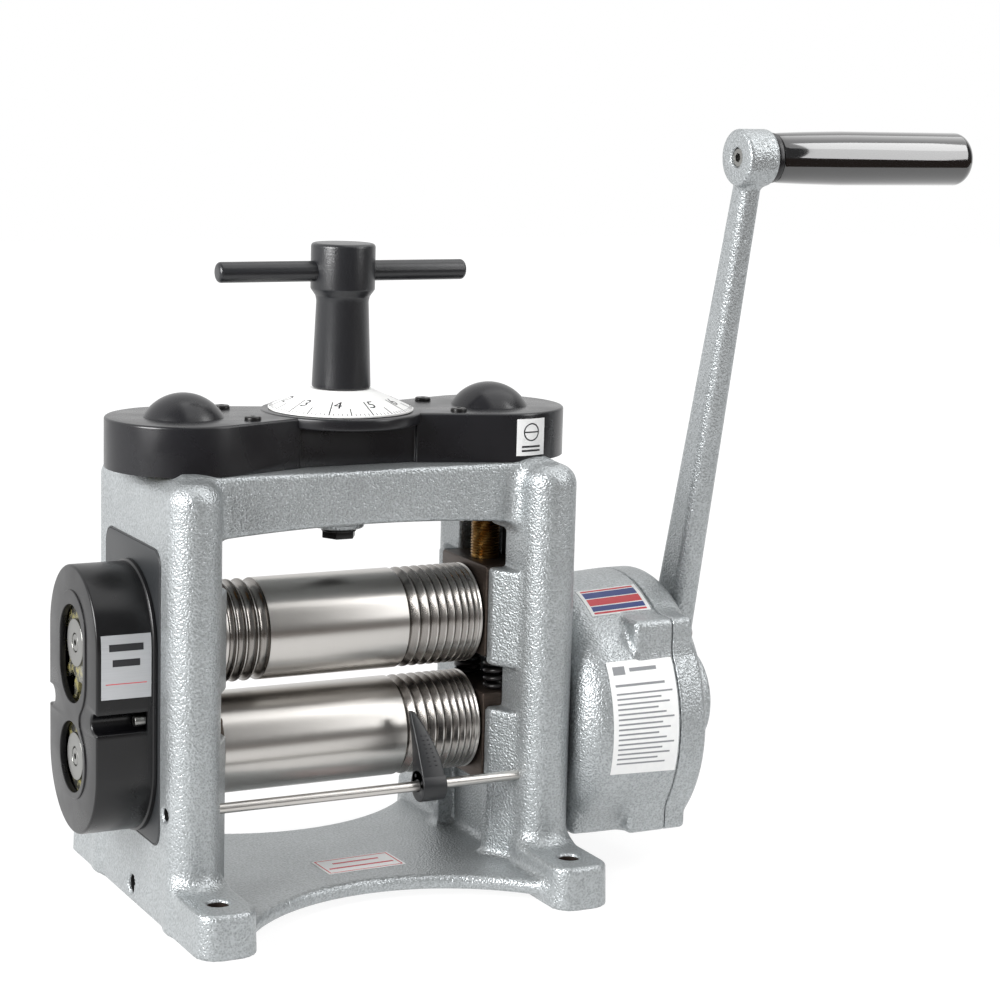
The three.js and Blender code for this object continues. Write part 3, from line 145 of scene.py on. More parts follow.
def rounded(a, b, radius):
    """What two forms share, with its edge rounded."""
    proud = np.hypot(np.maximum(radius + a, 0), np.maximum(radius + b, 0))
    return np.minimum(-radius, np.maximum(a, b)) + proud


def between(value, low, high):
    return np.maximum(low - value, value - high)


def round_bar(u, v, half_u, half_v, radius):
    """A bar with rounded corners, seen along its length."""
    du, dv = np.abs(u) - half_u + radius, np.abs(v) - half_v + radius
    return np.hypot(np.maximum(du, 0), np.maximum(dv, 0)) + np.minimum(np.maximum(du, dv), 0) - radius


def cast(field, low, high, cell):
    """Points and four-sided faces of a field's surface. The points lie on it exactly."""
    start = np.array(low) - 2 * cell
    sides = [np.arange(s, h + 3 * cell, cell) for s, h in zip(start, high)]
    value = field(*np.meshgrid(*sides, indexing="ij"))
    inside = value < 0
    cell_corners = [(i, j, k) for i in (0, 1) for j in (0, 1) for k in (0, 1)]
    x, y, z = (n - 1 for n in value.shape)
    count = sum(inside[i : x + i, j : y + j, k : z + k].astype(np.int8) for i, j, k in cell_corners)
    mixed = (count > 0) & (count < len(cell_corners))
    cells = np.argwhere(mixed)
    number = np.full(mixed.shape, -1)
    number[mixed] = np.arange(len(cells))
    total, hits = np.zeros((len(cells), 3)), np.zeros(len(cells))
    for corner in cell_corners:
        for axis in (0, 1, 2):
            if corner[axis]:
                continue
            a = cells + corner
            b = a + np.eye(3, dtype=int)[axis]
            va, vb = value[tuple(a.T)], value[tuple(b.T)]
            cross = (va < 0) != (vb < 0)
            along = np.where(cross, va / np.where(cross, va - vb, 1), 0)
            spot = np.array(corner, float) + np.outer(along, np.eye(3)[axis])
            total[cross] += spot[cross]
            hits += cross
    points = start + (cells + total / hits[:, None]) * cell
    for _ in range(3):
        step = 0.05 * cell
        rise = [field(*(points + step * e).T) - field(*(points - step * e).T) for e in np.eye(3)]
        slope = np.stack(rise, 1) / (2 * step)
        move = slope * (field(*points.T) / np.maximum((slope**2).sum(1), 0.3))[:, None]
        points -= np.clip(move, -0.6 * cell, 0.6 * cell)
    faces = []
    for axis in (0, 1, 2):
        b, c = (axis + 1) % 3, (axis + 2) % 3
        here = np.argwhere(np.diff(inside.astype(np.int8), axis=axis) != 0)
        here = here[(here[:, b] > 0) & (here[:, c] > 0)]
        outwards = inside[tuple(here.T)]
        quad = []
        for db, dc in ((-1, -1), (0, -1), (0, 0), (-1, 0)):
            at = here.copy()
            at[:, b] += db
            at[:, c] += dc
            quad.append(number[tuple(at.T)])
        quad = np.stack(quad, 1)
        quad[~outwards] = quad[~outwards, ::-1]
        faces.append(quad)
    return points, np.concatenate(faces).tolist()


HOUSING_X, HOUSING_TOP, PILLAR_Y, PILLAR = 111.4, 255, 54.1, 16
LOWER_AXIS, UPPER_AXIS, SCREW_X = 90.6, 157.0, 97.5
BOLT_X, BOLT_Y = 110.4, 93.8
ROD_Z, LEVEL_Z = 67.0, 10.5


def frame_form(x, y, z):
    side, way = np.abs(x), np.abs(y)
    pillars = np.hypot(side - HOUSING_X, np.maximum(way - PILLAR_Y, 0)) - PILLAR
    housing = rounded(pillars, z - HOUSING_TOP, 12)
    arch, crown, bridge_half = 1074.2, 223.4, 46
    arched = np.maximum(z - HOUSING_TOP, arch - np.hypot(x, z - crown + arch))
    bridge = np.maximum(rounded(way - bridge_half, arched, 2.5), side - HOUSING_X)
    metal = filleted(housing, bridge, 9)
    boss = rounded(np.maximum(np.hypot(x, y) - 15, z - 250), 214.3 - z, 1.5)
    metal = filleted(metal, boss, 3)
    lug_inner, lug_front = 84.4, 36.5
    for low, high in ((12.7, 104.6), (131, 190)):
        slant = -0.848 * (side - lug_inner) + 0.53 * (way - lug_front)
        lug = np.maximum.reduce([lug_inner - side, 30 - way, slant, side - HOUSING_X, way - PILLAR_Y])
        metal = filleted(metal, rounded(lug, between(z, low, high), 2), 1.6)
    foot_top, draft = 25.7, 0.035
    foot = round_bar(side - BOLT_X, way - 85.55, 18.2, 31.45, 13) + draft * z
    metal = filleted(metal, rounded(foot, z - foot_top, 3), 10)
    plate_arc, arc_centre, plate_low, plate_top = 117, 173.3, 4.7, 13.7
    plate = np.maximum.reduce([plate_arc - np.hypot(x, way - arc_centre), side - 126, way - 101.3])
    metal = filleted(metal, rounded(plate, between(z, plate_low, plate_top), 4), 5)
    rib = np.maximum.reduce([way - 12, side - HOUSING_X, z - 8])
    metal = rounded(np.minimum(metal, rib), -z, 1.3)
    window = np.maximum(round_bar(y, z - 135.15, 30.5, 77.85, 2), 83.4 - side)
    metal = rounded(metal, -window, 1)
    metal = rounded(metal, 6.3 - np.hypot(side - BOLT_X, way - BOLT_Y), 1.2)
    nut_bore = np.maximum(np.hypot(side - SCREW_X, y) - 14.3, 210 - z)
    level_hole = np.maximum(np.hypot(y, z - LEVEL_Z) - 5.5, x + 103)
    rod_hole = np.maximum(np.hypot(y + PILLAR_Y, z - ROD_Z) - 4, x + 116)
    return rounded(metal, -np.minimum.reduce([nut_bore, level_hole, rod_hole]), 0.8)


def dress(made, body, node=None):
    """Lets a piece ride on a body, and stand in for a CAD node."""
    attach(made, body)
    if node:
        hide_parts(node)


casting = piece("cast_frame", *cast(frame_form, (-128, -117, 0), (128, 117, 255), 1.6), enamel)
dress(casting, "root", "frame_casting")


# Side plate. A 3 mm steel plate let into the left housing that closes its window, with a hole for the
# journal of each roll. It is cut, its edges are broken, and it is stove-enamelled satin black.
class Shell:
    """A form built of closed rings of points, joined by walls and closed by lids."""

    def __init__(self):
        self.points, self.faces = [], []

    def ring(self, points):
        first = len(self.points)
        self.points.extend(points)
        return list(range(first, len(self.points)))

    def wall(self, *rings):
        for a, b in zip(rings, rings[1:]):
            for i in range(len(a)):
                j = (i + 1) % len(a)
                self.faces.append((a[i], a[j], b[j], b[i]))

    def solid(self, rings):
        """Walls from ring to ring, closed at both ends."""
        self.wall(*rings)
        self.faces += [tuple(rings[0]), tuple(rings[-1])]

    def lid(self, *rings):
        order = [i for ring in rings for i in ring]
        loops = [[Vector(self.points[i]) for i in ring] for ring in rings]
        self.faces += [tuple(order[k] for k in t) for t in tessellate_polygon(loops)]

    def outline(self, place, height, outline):
        """A ring along an outline at a height."""
        return self.ring([place(height, *p) for p in outline])

    def round(self, place, along, radius, sides):
        """A round ring about the axis of a place."""
        return self.outline(place, along, ring_of(0, 0, radius, sides))

    def turned(self, profile, place, sides=64, bored=False):
        """A turned form: the profile gives place along the axis and radius."""
        rings = [self.round(place, along, radius, sides) for along, radius in profile]
        if bored:
            self.wall(*rings, rings[0])
        else:
            self.solid(rings)

    def plate(self, outlines, low, high, edge, place, steps=3):
        """A plate with rounded edges. The first outline is its own, the others are holes in it."""
        ends = []
        for k, outline in enumerate(outlines):
            grow = 1 if k == 0 else -1
            turns = [math.pi / 2 * s / steps for s in range(steps + 1)]
            levels = [(edge * (1 - math.sin(t)), low + edge * (1 - math.cos(t))) for t in turns]
            levels += [(edge * (1 - math.sin(t)), high - edge * (1 - math.cos(t))) for t in reversed(turns)]
            rings = [self.outline(place, h, inset(outline, grow * d)) for d, h in levels]
            self.wall(*rings)
            ends.append((rings[0], rings[-1]))
        self.lid(*[e[0] for e in ends])
        self.lid(*[e[1] for e in ends])

    def made(self, name, finish, body, slot, node=None, sharp=40):
        """The finished piece."""
        dress(piece(name, self.points, self.faces, finish, sharp=sharp), body, node)


def inset(outline, depth):
    """An outline, given anticlockwise, moved inwards by a depth."""
    points = np.array(outline, float)
    before = points - np.roll(points, 1, axis=0)
    after = np.roll(points, -1, axis=0) - points
    normals = []
    for a, b in zip(before, after):
        a, b = a / np.hypot(*a), b / np.hypot(*b)
        mid = np.array([-a[1] - b[1], a[0] + b[0]])
        normals.append(mid / max(1e-9, mid @ mid) * 2)
    return [tuple(p + depth * n) for p, n in zip(points, normals)]


def eased(path, radius, closed=True, steps=4):
    """A path with its corners rounded."""
    result = []
    for i, corner in enumerate(path):
        corner = np.array(corner, float)
        before, after = np.array(path[i - 1]) - corner, np.array(path[(i + 1) % len(path)]) - corner
        a, b = np.hypot(*before), np.hypot(*after)
        if not closed and i in (0, len(path) - 1):
            result.append(tuple(corner))
            continue
        half = math.acos(np.clip(before @ after / (a * b), -1, 1)) / 2
        if half > math.radians(80):
            result.append(tuple(corner))
            continue
        reach = min(radius / math.tan(half), 0.45 * a, 0.45 * b)
        start, end = corner + before / a * reach, corner + after / b * reach
        middle = before / a + after / b
        centre = corner + middle / np.hypot(*middle) * reach / math.cos(half)
        swing = math.pi - 2 * half
        for k in range(steps + 1):
            t = k / steps
            share = np.array([math.sin((1 - t) * swing), math.sin(t * swing)]) / math.sin(swing)
            result.append(tuple(centre + share[0] * (start - centre) + share[1] * (end - centre)))
    return result


def arc(x, y, radius, start, end, steps):
    turns = [math.radians(start + (end - start) * i / steps) for i in range(steps + 1)]
    return [(x + radius * math.cos(t), y + radius * math.sin(t)) for t in turns]


def ring_of(x, y, radius, steps=48):
    return arc(x, y, radius, 0, 360, steps)[:-1]


def stadium(y, low, high, radius, steps=24):
    return arc(y, high, radius, 0, 180, steps) + arc(y, low, radius, 180, 360, steps)


def along_x(y=0.0, z=0.0):
    return lambda along, u, v: (along, y + u, z + v)


def corners(low_u, high_u, low_v, high_v):
    return [(low_u, low_v), (high_u, low_v), (high_u, high_v), (low_u, high_v)]


def grained(name, size, detail, values, tones=None, relief=None, shine=None):
    """A material with one grain, its size in millimetres. The grain may run between two colours, stand in
    relief with a strength and a depth in millimetres, and move the roughness between two values."""
    material = blank(name)
    at = add(material, "TexCoord").outputs["Object"]
    scale = [1 / (float(s) * MM) for s in np.broadcast_to(size, 3)]
    fine = add(material, "Mapping", {"Vector": at, "Scale": scale}).outputs[0]
    noise = add(material, "TexNoise", {"Vector": fine, "Scale": 1.0, "Detail": detail})
    grain = noise.outputs["Fac"]
    if tones:
        dark, light = (linear(tone) for tone in tones)
        tone = add(material, "MixRGB", {"Fac": grain, "Color1": dark, "Color2": light})
        values["Base Color"] = tone.outputs[0]
    if relief:
        bump = add(material, "Bump", {"Height": grain, "Strength": relief[0], "Distance": relief[1] * MM})
        values["Normal"] = bump.outputs["Normal"]
    if shine:
        dull = add(material, "MapRange", {"Value": grain, "From Min": 0.3, "From Max": 0.7,
            "To Min": shine[0], "To Max": shine[1]})
        values["Roughness"] = dull.outputs[0]
    return shown(material, values)


# Stove enamel over ground steel: a thin even coat, satin, with the faint orange peel of a sprayed film
# about 0.6 mm across.
black_enamel = grained("black_stove_enamel", 0.6, 1, {"Base Color": linear("#232527"), "Roughness": 0.42},
    relief=(0.3, 0.02))

plate_edge = eased(corners(-45.6, 45.6, 45.6, 214.8), 9, steps=8)
shell = Shell()
shell.plate([plate_edge, ring_of(0, LOWER_AXIS, 16), stadium(0, 151, 158.6, 16)], low=-128, high=-125,
    edge=0.5, place=along_x())
shell.made("side_plate_enamelled", black_enamel, "root", "black_enamel", "side_plate")

# Shadow line. A thin black ring lies all round the side plate, in the gap left for it: a painted shadow for
# the dark gap at the plate's edge.
shell = Shell()
shell.plate([inset(plate_edge, -1.1), inset(plate_edge, -0.05)], low=-127.85, high=-126, edge=0.35,
    place=along_x())
shell.made("side_plate_shadow_line", black_enamel, "root", "black_enamel")

# Window plate. A black plate closes the right housing's window above the gearbox: a painted shade, put where
# the window shows only shade. It is pressed into the window from the gearbox's side.

# Phosphated steel: a dull black crystal coat, drawn 0.3 mm, that drinks the light. Its black stands for the
# shade in the right window and in the housing's holes: painted shade.
shade_black_phosphate = grained("phosphate_black_painted_shade", 0.3, 1, {"Roughness": 0.6, "IOR": 1.4}, tones=("#0c0c0c", "#1a1a1a"))
shell = Shell()
shell.plate([corners(-29.8, 29.8, 124, 212.3)], low=124.4, high=126.9, edge=0.4, place=along_x())
shell.made("right_window_shade_plate", shade_black_phosphate, "root", "black_enamel")

# Rolls. Tool steel, hardened and ground, then polished round and round: V grooves for square wire on the
# right of both, and half-round grooves on the left of the upper one. Their journals run in the blocks.
ROLL, ROLL_END, JOURNAL, GEAR_SEAT = 30.0, 82.5, 15, 11


def v_grooves():
    path, x = [], 33.5
    for i in range(10):
        width = 6.1 - 0.42 * i
        path += [(x, ROLL), (x + width / 2, ROLL - width / 2), (x + width, ROLL)]
        x += width + 0.7
    return path


def half_round_grooves():
    path, x = [], -54.4
    for i in range(4):
        width = 7.3 - 0.95 * i
        path = [(x - width, ROLL), *arc(x - width / 2, ROLL, width / 2, 180, 360, 12)[1:-1], (x, ROLL), *path]
        x -= width + 0.7
    return path


# Ground and polished tool steel: bright, with grinding lines round the roll, drawn 0.35 mm apart so that
# they show, that draw each light out along it into a soft band.
ground_steel = grained("ground_tool_steel", (0.35, 40, 40), 2,
    {"Base Color": linear("#c6c3bf"), "Metallic": 1.0, "Anisotropic": 0.7, "Anisotropic Rotation": 0.25},
    relief=(0.4, 0.012), shine=(0.3, 0.37))
lay = add(ground_steel, "Tangent", direction_type="RADIAL", axis="X").outputs[0]
ground_steel.node_tree.links.new(lay, ground_steel.node_tree.nodes["Principled BSDF"].inputs["Tangent"])

# The groove flanks are coloured darker than the polished lands: a painted shade, so that the grooves read
# as dark lines.
groove_shade_steel = grained("groove_steel_painted_shade", (0.35, 40, 40), 2, {"Metallic": 1.0, "Roughness": 0.24},
    tones=("#807c78", "#a19d99"), relief=(0.4, 0.01))

for name, height, grooves, right in (
    ("upper", UPPER_AXIS, half_round_grooves() + v_grooves(), [(111.2, JOURNAL)]),
    ("lower", LOWER_AXIS, v_grooves(), [(149.7, JOURNAL), (149.7, GEAR_SEAT), (158, GEAR_SEAT)]),
):
    profile = [(-158.3, GEAR_SEAT), (-134.3, GEAR_SEAT), (-134.3, JOURNAL), (-ROLL_END, JOURNAL),
        (-ROLL_END, ROLL - 0.8), (-81.7, ROLL), *grooves, (81.7, ROLL), (ROLL_END, ROLL - 0.8),
        (ROLL_END, JOURNAL), *right]
    shell = Shell()
    shell.turned(eased(profile, 0.18, closed=False, steps=2), along_x(0, height), sides=144)
    groove_painted_shade = []
    for face in shell.faces:
        middle = np.mean([shell.points[i] for i in face], axis=0)
        out = math.hypot(middle[1], middle[2] - height)
        groove_painted_shade.append(int(abs(middle[0]) < ROLL_END - 2.5 and out < ROLL - 0.15))
    roll = piece(f"{name}_roll_ground", shell.points, shell.faces, [ground_steel, groove_shade_steel], sharp=50,
        finish_of_face=groove_painted_shade)
    dress(roll, f"{name}_rolls", f"{name}_roll")

# Bearing blocks and bushes. Machined iron blocks that slide in the windows of the frame, oiled and dark,
# each bored for a bronze bush. The lower ones rest on the frame, the upper ones carry the upper roll.
oiled_iron = grained("milled_cast_iron_oiled", (8, 8, 0.8), 3, {"Metallic": 0.8, "Roughness": 0.42},
    tones=("#332d2a", "#5e524a"), relief=(0.4, 0.03))

# Machined bronze: warm and bright where the tool has just cut it, a little browner where oil lies on it.
bronze = grained("turned_bearing_bronze", 5, 4, {"Metallic": 1.0, "Roughness": 0.34},
    tones=("#6b4e27", "#b08a50"), relief=(0.2, 0.03))

BLOCK, BUSH = 30.2, 18.3
for name, body, way, height in (("upper", "carriage", 1, UPPER_AXIS), ("lower", "root", -1, LOWER_AXIS)):
    for side_name, side in (("left", -1), ("right", 1)):
        low, high = sorted((-way * 22, way * 33))
        inner, outer = sorted((side * 83.6, side * HOUSING_X))
        shell = Shell()
        block_outline = eased(corners(-BLOCK, BLOCK, low, high), 2)
        shell.plate([block_outline, ring_of(0, 0, BUSH)], inner, outer, edge=0.6, place=along_x(0, height))
        corner = f"{name}_{side_name}"
        shell.made(f"{corner}_bearing_block", oiled_iron, body, "cast_iron", f"{corner}_block")
        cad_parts[f"{corner}_bush"].data.materials[0] = bronze

# Bolt holes. The four holes in the feet are for the bench bolts. A thin dark liner in each bore stands for
# the
# shade inside the hole: painted shade.
def along_z(x=0.0, y=0.0):
    return lambda along, u, v: (x + u, y + v, along)


shell = Shell()
for side in (-1, 1):
    for way in (-1, 1):
        bore = [(1.5, 6.45), (24, 6.45), (24, 6.15), (1.5, 6.15)]
        shell.turned(bore, along_z(side * BOLT_X, way * BOLT_Y), sides=48, bored=True)
shell.made("foot_hole_shade_liners", oiled_iron, "root", "cast_iron")

# Lifting springs. Two at each end stand between the blocks and push the upper roll up when the screws are
# backed off. Cold-wound from 3 mm spring wire, ends closed, blackened in hot oil.
blackened_wire = grained("oil_blackened_spring_wire", 3, 3, {"Base Color": linear("#1d1c1c"),
    "Metallic": 0.4}, shine=(0.28, 0.36))

SPRING_LOW, SPRING_HIGH, SPRING_Y, WIRE, COIL = 112.9, 134.7, 20, 1.5, 7.0
TURNS, DEAD = 5, 0.6  # turns of wire, and how much of a turn lies nearly flat at each end
LIVE = TURNS - 2 * DEAD
for side_name, side in (("left", -1), ("right", 1)):
    for row_name, row in (("front", -1), ("back", 1)):
        axis = np.array([side * SCREW_X, row * SPRING_Y, 0])
        centre = []
        for turn in [i / 32 for i in range(TURNS * 32 + 1)]:
            rise = np.clip(turn - DEAD, 0, LIVE) / LIVE
            closed_up = (min(turn, DEAD) + max(turn - LIVE - DEAD, 0)) / DEAD * 0.02
            height = SPRING_LOW + WIRE + (SPRING_HIGH - SPRING_LOW - 2 * WIRE) * (rise * 0.96 + closed_up)
            angle = 2 * math.pi * turn
            centre.append(axis + (COIL * math.cos(angle), COIL * math.sin(angle), height))
        centre = np.array(centre)
        run = np.gradient(centre, axis=0)
        run /= np.linalg.norm(run, axis=1)[:, None]
        outwards = centre - axis
        outwards[:, 2] = 0
        outwards /= np.linalg.norm(outwards, axis=1)[:, None]
        upwards = np.cross(run, outwards)
        shell = Shell()
        rings = []
        for p, o, u in zip(centre, outwards, upwards):
            turns = [2 * math.pi * k / 12 for k in range(12)]
            rings.append(shell.ring([tuple(p + WIRE * (math.cos(t) * o + math.sin(t) * u)) for t in turns]))
        shell.solid(rings)
        spring = piece(f"{side_name}_{row_name}_coil", shell.points, shell.faces, blackened_wire, sharp=50)
        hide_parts(f"{side_name}_{row_name}_spring")
        middle = (side * SCREW_X * MM, row * SPRING_Y * MM)
        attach(spring, "root")
        spring.parent = None
        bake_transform(spring)

# Roll gears, with their end caps and screws. The gears are hobbed from steel with long teeth, so that
# they stay in mesh as the gap changes, and run in grease. A turned washer and a socket screw hold each.
greased_steel = blank("hobbed_steel_greased")
at = add(greased_steel, "TexCoord").outputs["Object"]
smear = add(greased_steel, "TexNoise", {"Vector": at, "Scale": 1 / (6 * MM), "Detail": 5.0})
thick = add(greased_steel, "MapRange", {"Value": smear.outputs["Fac"], "From Min": 0.42, "From Max": 0.62})
tone = add(greased_steel, "MixRGB", {"Fac": thick.outputs[0], "Color1": linear("#8d8d88"),
    "Color2": linear("#a39a5e")})
bare = add(greased_steel, "MapRange", {"Value": thick.outputs[0], "To Min": 0.9, "To Max": 0.25})
bump = add(greased_steel, "Bump", {"Height": smear.outputs["Fac"], "Strength": 0.5, "Distance": 0.3 * MM})
shown(greased_steel, {"Base Color": tone.outputs[0], "Metallic": bare.outputs[0], "Roughness": 0.27,
    "Normal": bump.outputs["Normal"]})

# Turned steel: the lathe's feed leaves fine rings, drawn 0.5 mm apart, under a bright oiled surface.
turned_steel = grained("turned_steel", 0.5, 2, {"Base Color": linear("#92928f"), "Metallic": 1.0,
    "Roughness": 0.34}, relief=(0.3, 0.01))


def socket_screw(shell, place, face, way, head, depth, flats, sink, stem=None, edge=0.6):
    """A socket-head screw. Its outer face lies at `face`, and its body runs the way given: the head with its
    radius and depth, the socket in it, so wide across its flats, and a stem with its radius and length."""
    path = [(face + way * depth, head), (face, head), (face, 0)]
    if stem:
        path = [(face + way * (depth + stem[1]), stem[0]), (face + way * depth, stem[0]), *path]
    rings = [shell.round(place, along, radius, 48) for along, radius in eased(path, edge, closed=False)[:-1]]
    shell.wall(*rings)
    shell.faces.append(tuple(rings[0]))
    rim, floor = [shell.round(place, face + way * d, flats / math.sqrt(3), 6) for d in (0, sink)]
    shell.lid(rings[-1], rim)
    shell.wall(rim, floor)
    shell.faces.append(tuple(floor))


for name, height in (("upper", UPPER_AXIS), ("lower", LOWER_AXIS)):
    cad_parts[f"{name}_roll_gear"].data.materials[0] = greased_steel
    shell = Shell()
    ring = [(-158.9, 3.4), (-160.2, 3.4), (-160.2, 5.6), (-161.9, 5.6), (-161.9, 13.8), (-158.9, 13.8)]
    shell.turned(eased(ring, 0.5), along_x(0, height), bored=True)
    shell.made(f"{name}_washer", turned_steel, f"{name}_rolls", "machined_steel", f"{name}_end_cap")
    shell = Shell()
    socket_screw(shell, along_x(0, height), face=-161.7, way=1, head=5.0, depth=1.5, flats=3.4, sink=2.5,
        stem=(3.0, 12.0))
    shell.made(f"{name}_washer_screw", turned_steel, f"{name}_rolls", "machined_steel", f"{name}_end_screw")

# Gear cover. An injection moulding in black ABS over the roll gears: a rounded case with a raised rim
# round two windows, a channel down each side for the screw that holds it, and a lip at the back.
CASE, CASE_LOW, CASE_HIGH, CASE_SCREW, SCREW_Z = 42.5, 88.6, 159.2, 38, 118.5
FRONT, BACK, CHANNEL_FLOOR = -163.3, -128.3, -133.4


# Moulded ABS: a fine spark-eroded texture, drawn 0.4 mm, takes the edge off the gloss. The outer face has
# the light at a low angle and looks grey.
def moulded_abs(name, colour, roughness):
    material = blank(name)
    at = add(material, "TexCoord").outputs["Object"]
    spark = add(material, "TexNoise", {"Vector": at, "Scale": 1 / (0.4 * MM), "Detail": 1.0})
    rub = add(material, "TexNoise", {"Vector": at, "Scale": 1 / (25 * MM), "Detail": 4.0})
    worn = add(material, "MapRange", {"Value": rub.outputs["Fac"], "From Min": 0.3, "From Max": 0.7,
        "To Min": roughness - 0.05, "To Max": roughness + 0.06})
    bump = add(material, "Bump", {"Height": spark.outputs["Fac"], "Strength": 0.35, "Distance": 0.02 * MM})
    return shown(material, {"Base Color": linear(colour), "Roughness": worn.outputs[0], "IOR": 1.48,
        "Normal": bump.outputs["Normal"]})


cover_abs = moulded_abs("moulded_abs_satin", "#08080a", 0.3)


def case_outline(depth, notch):
    """The case with its side channels cut in, or their walls standing in."""
    half = CASE - depth
    low, high = SCREW_Z - notch, SCREW_Z + notch
    path = [(half, low - 3), (half, low), *arc(CASE_SCREW, SCREW_Z, notch, 270, 90, 10), (half, high),
        (half, high + 3)]
    right = eased(path, 0.9, closed=False, steps=3)
    left = [(-y, z) for y, z in reversed(right)]
    top = arc(0, CASE_HIGH, half, 0, 180, 40)
    bottom = arc(0, CASE_LOW, half, 180, 360, 40)
    return right + top + left + bottom


def eight(radius, low, high_low, high_high, waist):
    """Outline round both windows, drawn in at the waist with a fillet."""
    reach = (high_low - low) / 2
    fillet = (radius**2 - reach**2 - waist**2) / (2 * (waist - radius))
    centre = waist + fillet
    lean = math.degrees(math.atan2(reach, centre))
    middle = (low + high_low) / 2
    right = arc(centre, middle, fillet, 180 + lean, 180 - lean, 8)
    left = [(-y, z) for y, z in reversed(right)]
    upper = arc(0, high_low, radius, -lean, 0, 6)[1:] + arc(0, high_high, radius, 0, 180, 24)
    upper += arc(0, high_low, radius, 180, 180 + lean, 6)[:-1]
    lower = arc(0, low, radius, 180 - lean, 360 + lean, 40)[1:-1]
    return right + upper + left + lower


WINDOW, WALL, EDGE = 20.5, 2.6, 1.4
windows = [ring_of(0, LOWER_AXIS, WINDOW), stadium(0, 143.0, 158.6, WINDOW)]
place = along_x()
shell = Shell()
outside = case_outline(0, 5.5)
turns = [math.pi / 2 * s / 4 for s in range(5)]
outer = [shell.outline(place, CHANNEL_FLOOR, outside)]
outer += [shell.outline(place, FRONT + EDGE * (1 - math.sin(t)), inset(outside, EDGE * (1 - math.cos(t))))
    for t in turns]
shell.wall(*outer)
rim = eight(24.5, LOWER_AXIS, 138.5, 163.1, 13.5)
rim_rings = [shell.outline(place, x, inset(rim, d))
    for x, d in ((FRONT, 0), (FRONT - 0.5, 0.1), (FRONT - 0.8, 0.5))]
shell.lid(outer[-1], rim_rings[0])
shell.wall(*rim_rings)
mouths, throats = [], []
for window in windows:
    rings = [shell.outline(place, x, inset(window, -d))
        for x, d in ((FRONT - 0.8, 0.5), (FRONT - 0.5, 0.1), (FRONT, 0), (FRONT + WALL, 0))]
    shell.wall(*rings)
    mouths.append(rings[0])
    throats.append(rings[-1])
shell.lid(rim_rings[-1], *mouths)
inner = [shell.outline(place, x, case_outline(WALL, 7.7)) for x in (FRONT + WALL, CHANNEL_FLOOR)]
shell.lid(inner[0], *throats)
shell.wall(*inner)
shell.lid(outer[0], inner[1])
full, bore = (stadium(0, CASE_LOW, CASE_HIGH, r, 40) for r in (CASE + 0.05, CASE - WALL))
levels = [(CHANNEL_FLOOR - 0.05, 0), (BACK - 2.6, 0), (BACK - 2.2, -0.9), (BACK - 1.8, -1.2), (BACK, -1.2)]
flange = [shell.outline(place, x, inset(full, d)) for x, d in levels]
flange += [shell.outline(place, x, bore) for x in (BACK, CHANNEL_FLOOR - 0.05)]
shell.wall(*flange, flange[0])
shell.made("gear_case_moulding", cover_abs, "root", "black_moulding", "gear_cover", sharp=35)

# Gear case label. A brushed aluminium foil stuck on the case's front side and over its shoulder, with two
# plain printed bars and a rule, and no words.
def stuck_on(name, finish, slot, on, patches, base, top, shell=None):
    """A piece of thin films, each between two corners and bent in so many steps. `on` gives a place on a
    surface from across, along and the height over it."""
    shell = shell or Shell()
    for (left, start), (right, end), steps in patches:
        rings = []
        for k in range(steps + 1):
            along = start + (end - start) * k / steps
            section = corners(left, right, base, top)
            rings.append(shell.ring([on(across, along, lift) for across, lift in section]))
        shell.solid(rings)
    shell.made(name, finish, "root", slot)


def on_case(x, run, lift):
    """A place on the case's front side: straight up to its shoulder, then round its top."""
    turn = max(0, run - CASE_HIGH) / CASE
    out = CASE + lift
    return x, -out * math.cos(turn), min(run, CASE_HIGH) + out * math.sin(turn)


# Brushed aluminium foil: the brush runs across the label, its strokes drawn 0.4 mm apart.
foil = grained("brushed_aluminium_foil", (25, 0.4, 0.4), 2, {"Metallic": 0.55, "Roughness": 0.42},
    tones=("#b4b6b9", "#c9cbcd"), relief=(0.3, 0.01))

# Screen-printed inks: dull, with a grain of thinner and thicker film drawn 0.5 mm across.
print_black, print_grey, print_red, print_blue = [
    grained(f"{name}_screen_print", 0.5, 2, {"Roughness": 0.5}, tones=tones)
    for name, tones in (("black", ("#17171a", "#26262a")), ("grey", ("#7d7f82", "#8d8f92")),
        ("red", ("#bf3a42", "#cf4a50")), ("blue", ("#303f78", "#3a4a86")))
]

stuck_on("gear_case_foil_label", foil, "machined_steel", on_case,
    [((-160.5, 133), (-131.4, 169.3), 16)], base=0.02, top=0.25)
stuck_on("gear_case_label_bars", print_black, "black_moulding", on_case,
    [((-156, 160.2), (-136, 164.2), 4), ((-154, 151.5), (-138, 155.5), 1)], base=0.2, top=0.3)
stuck_on("gear_case_label_rule", print_red, "black_moulding", on_case,
    [((-158, 141.4), (-134, 141.9), 1)], base=0.2, top=0.3)

# Gear case screws. Two turned steel cap screws stand in the channels at the case's sides and hold it to the
# housing.
for number, way in ((1, -1), (2, 1)):
    shell = Shell()
    socket_screw(shell, along_x(way * CASE_SCREW, SCREW_Z), face=-140.1, way=1, head=3.2, depth=6.4,
        flats=3.0, sink=2.5, stem=(2.2, 14.0))
    shell.made(f"gear_case_screw_{number}", turned_steel, "root", "machined_steel",
        f"gear_cover_screw_{number}")

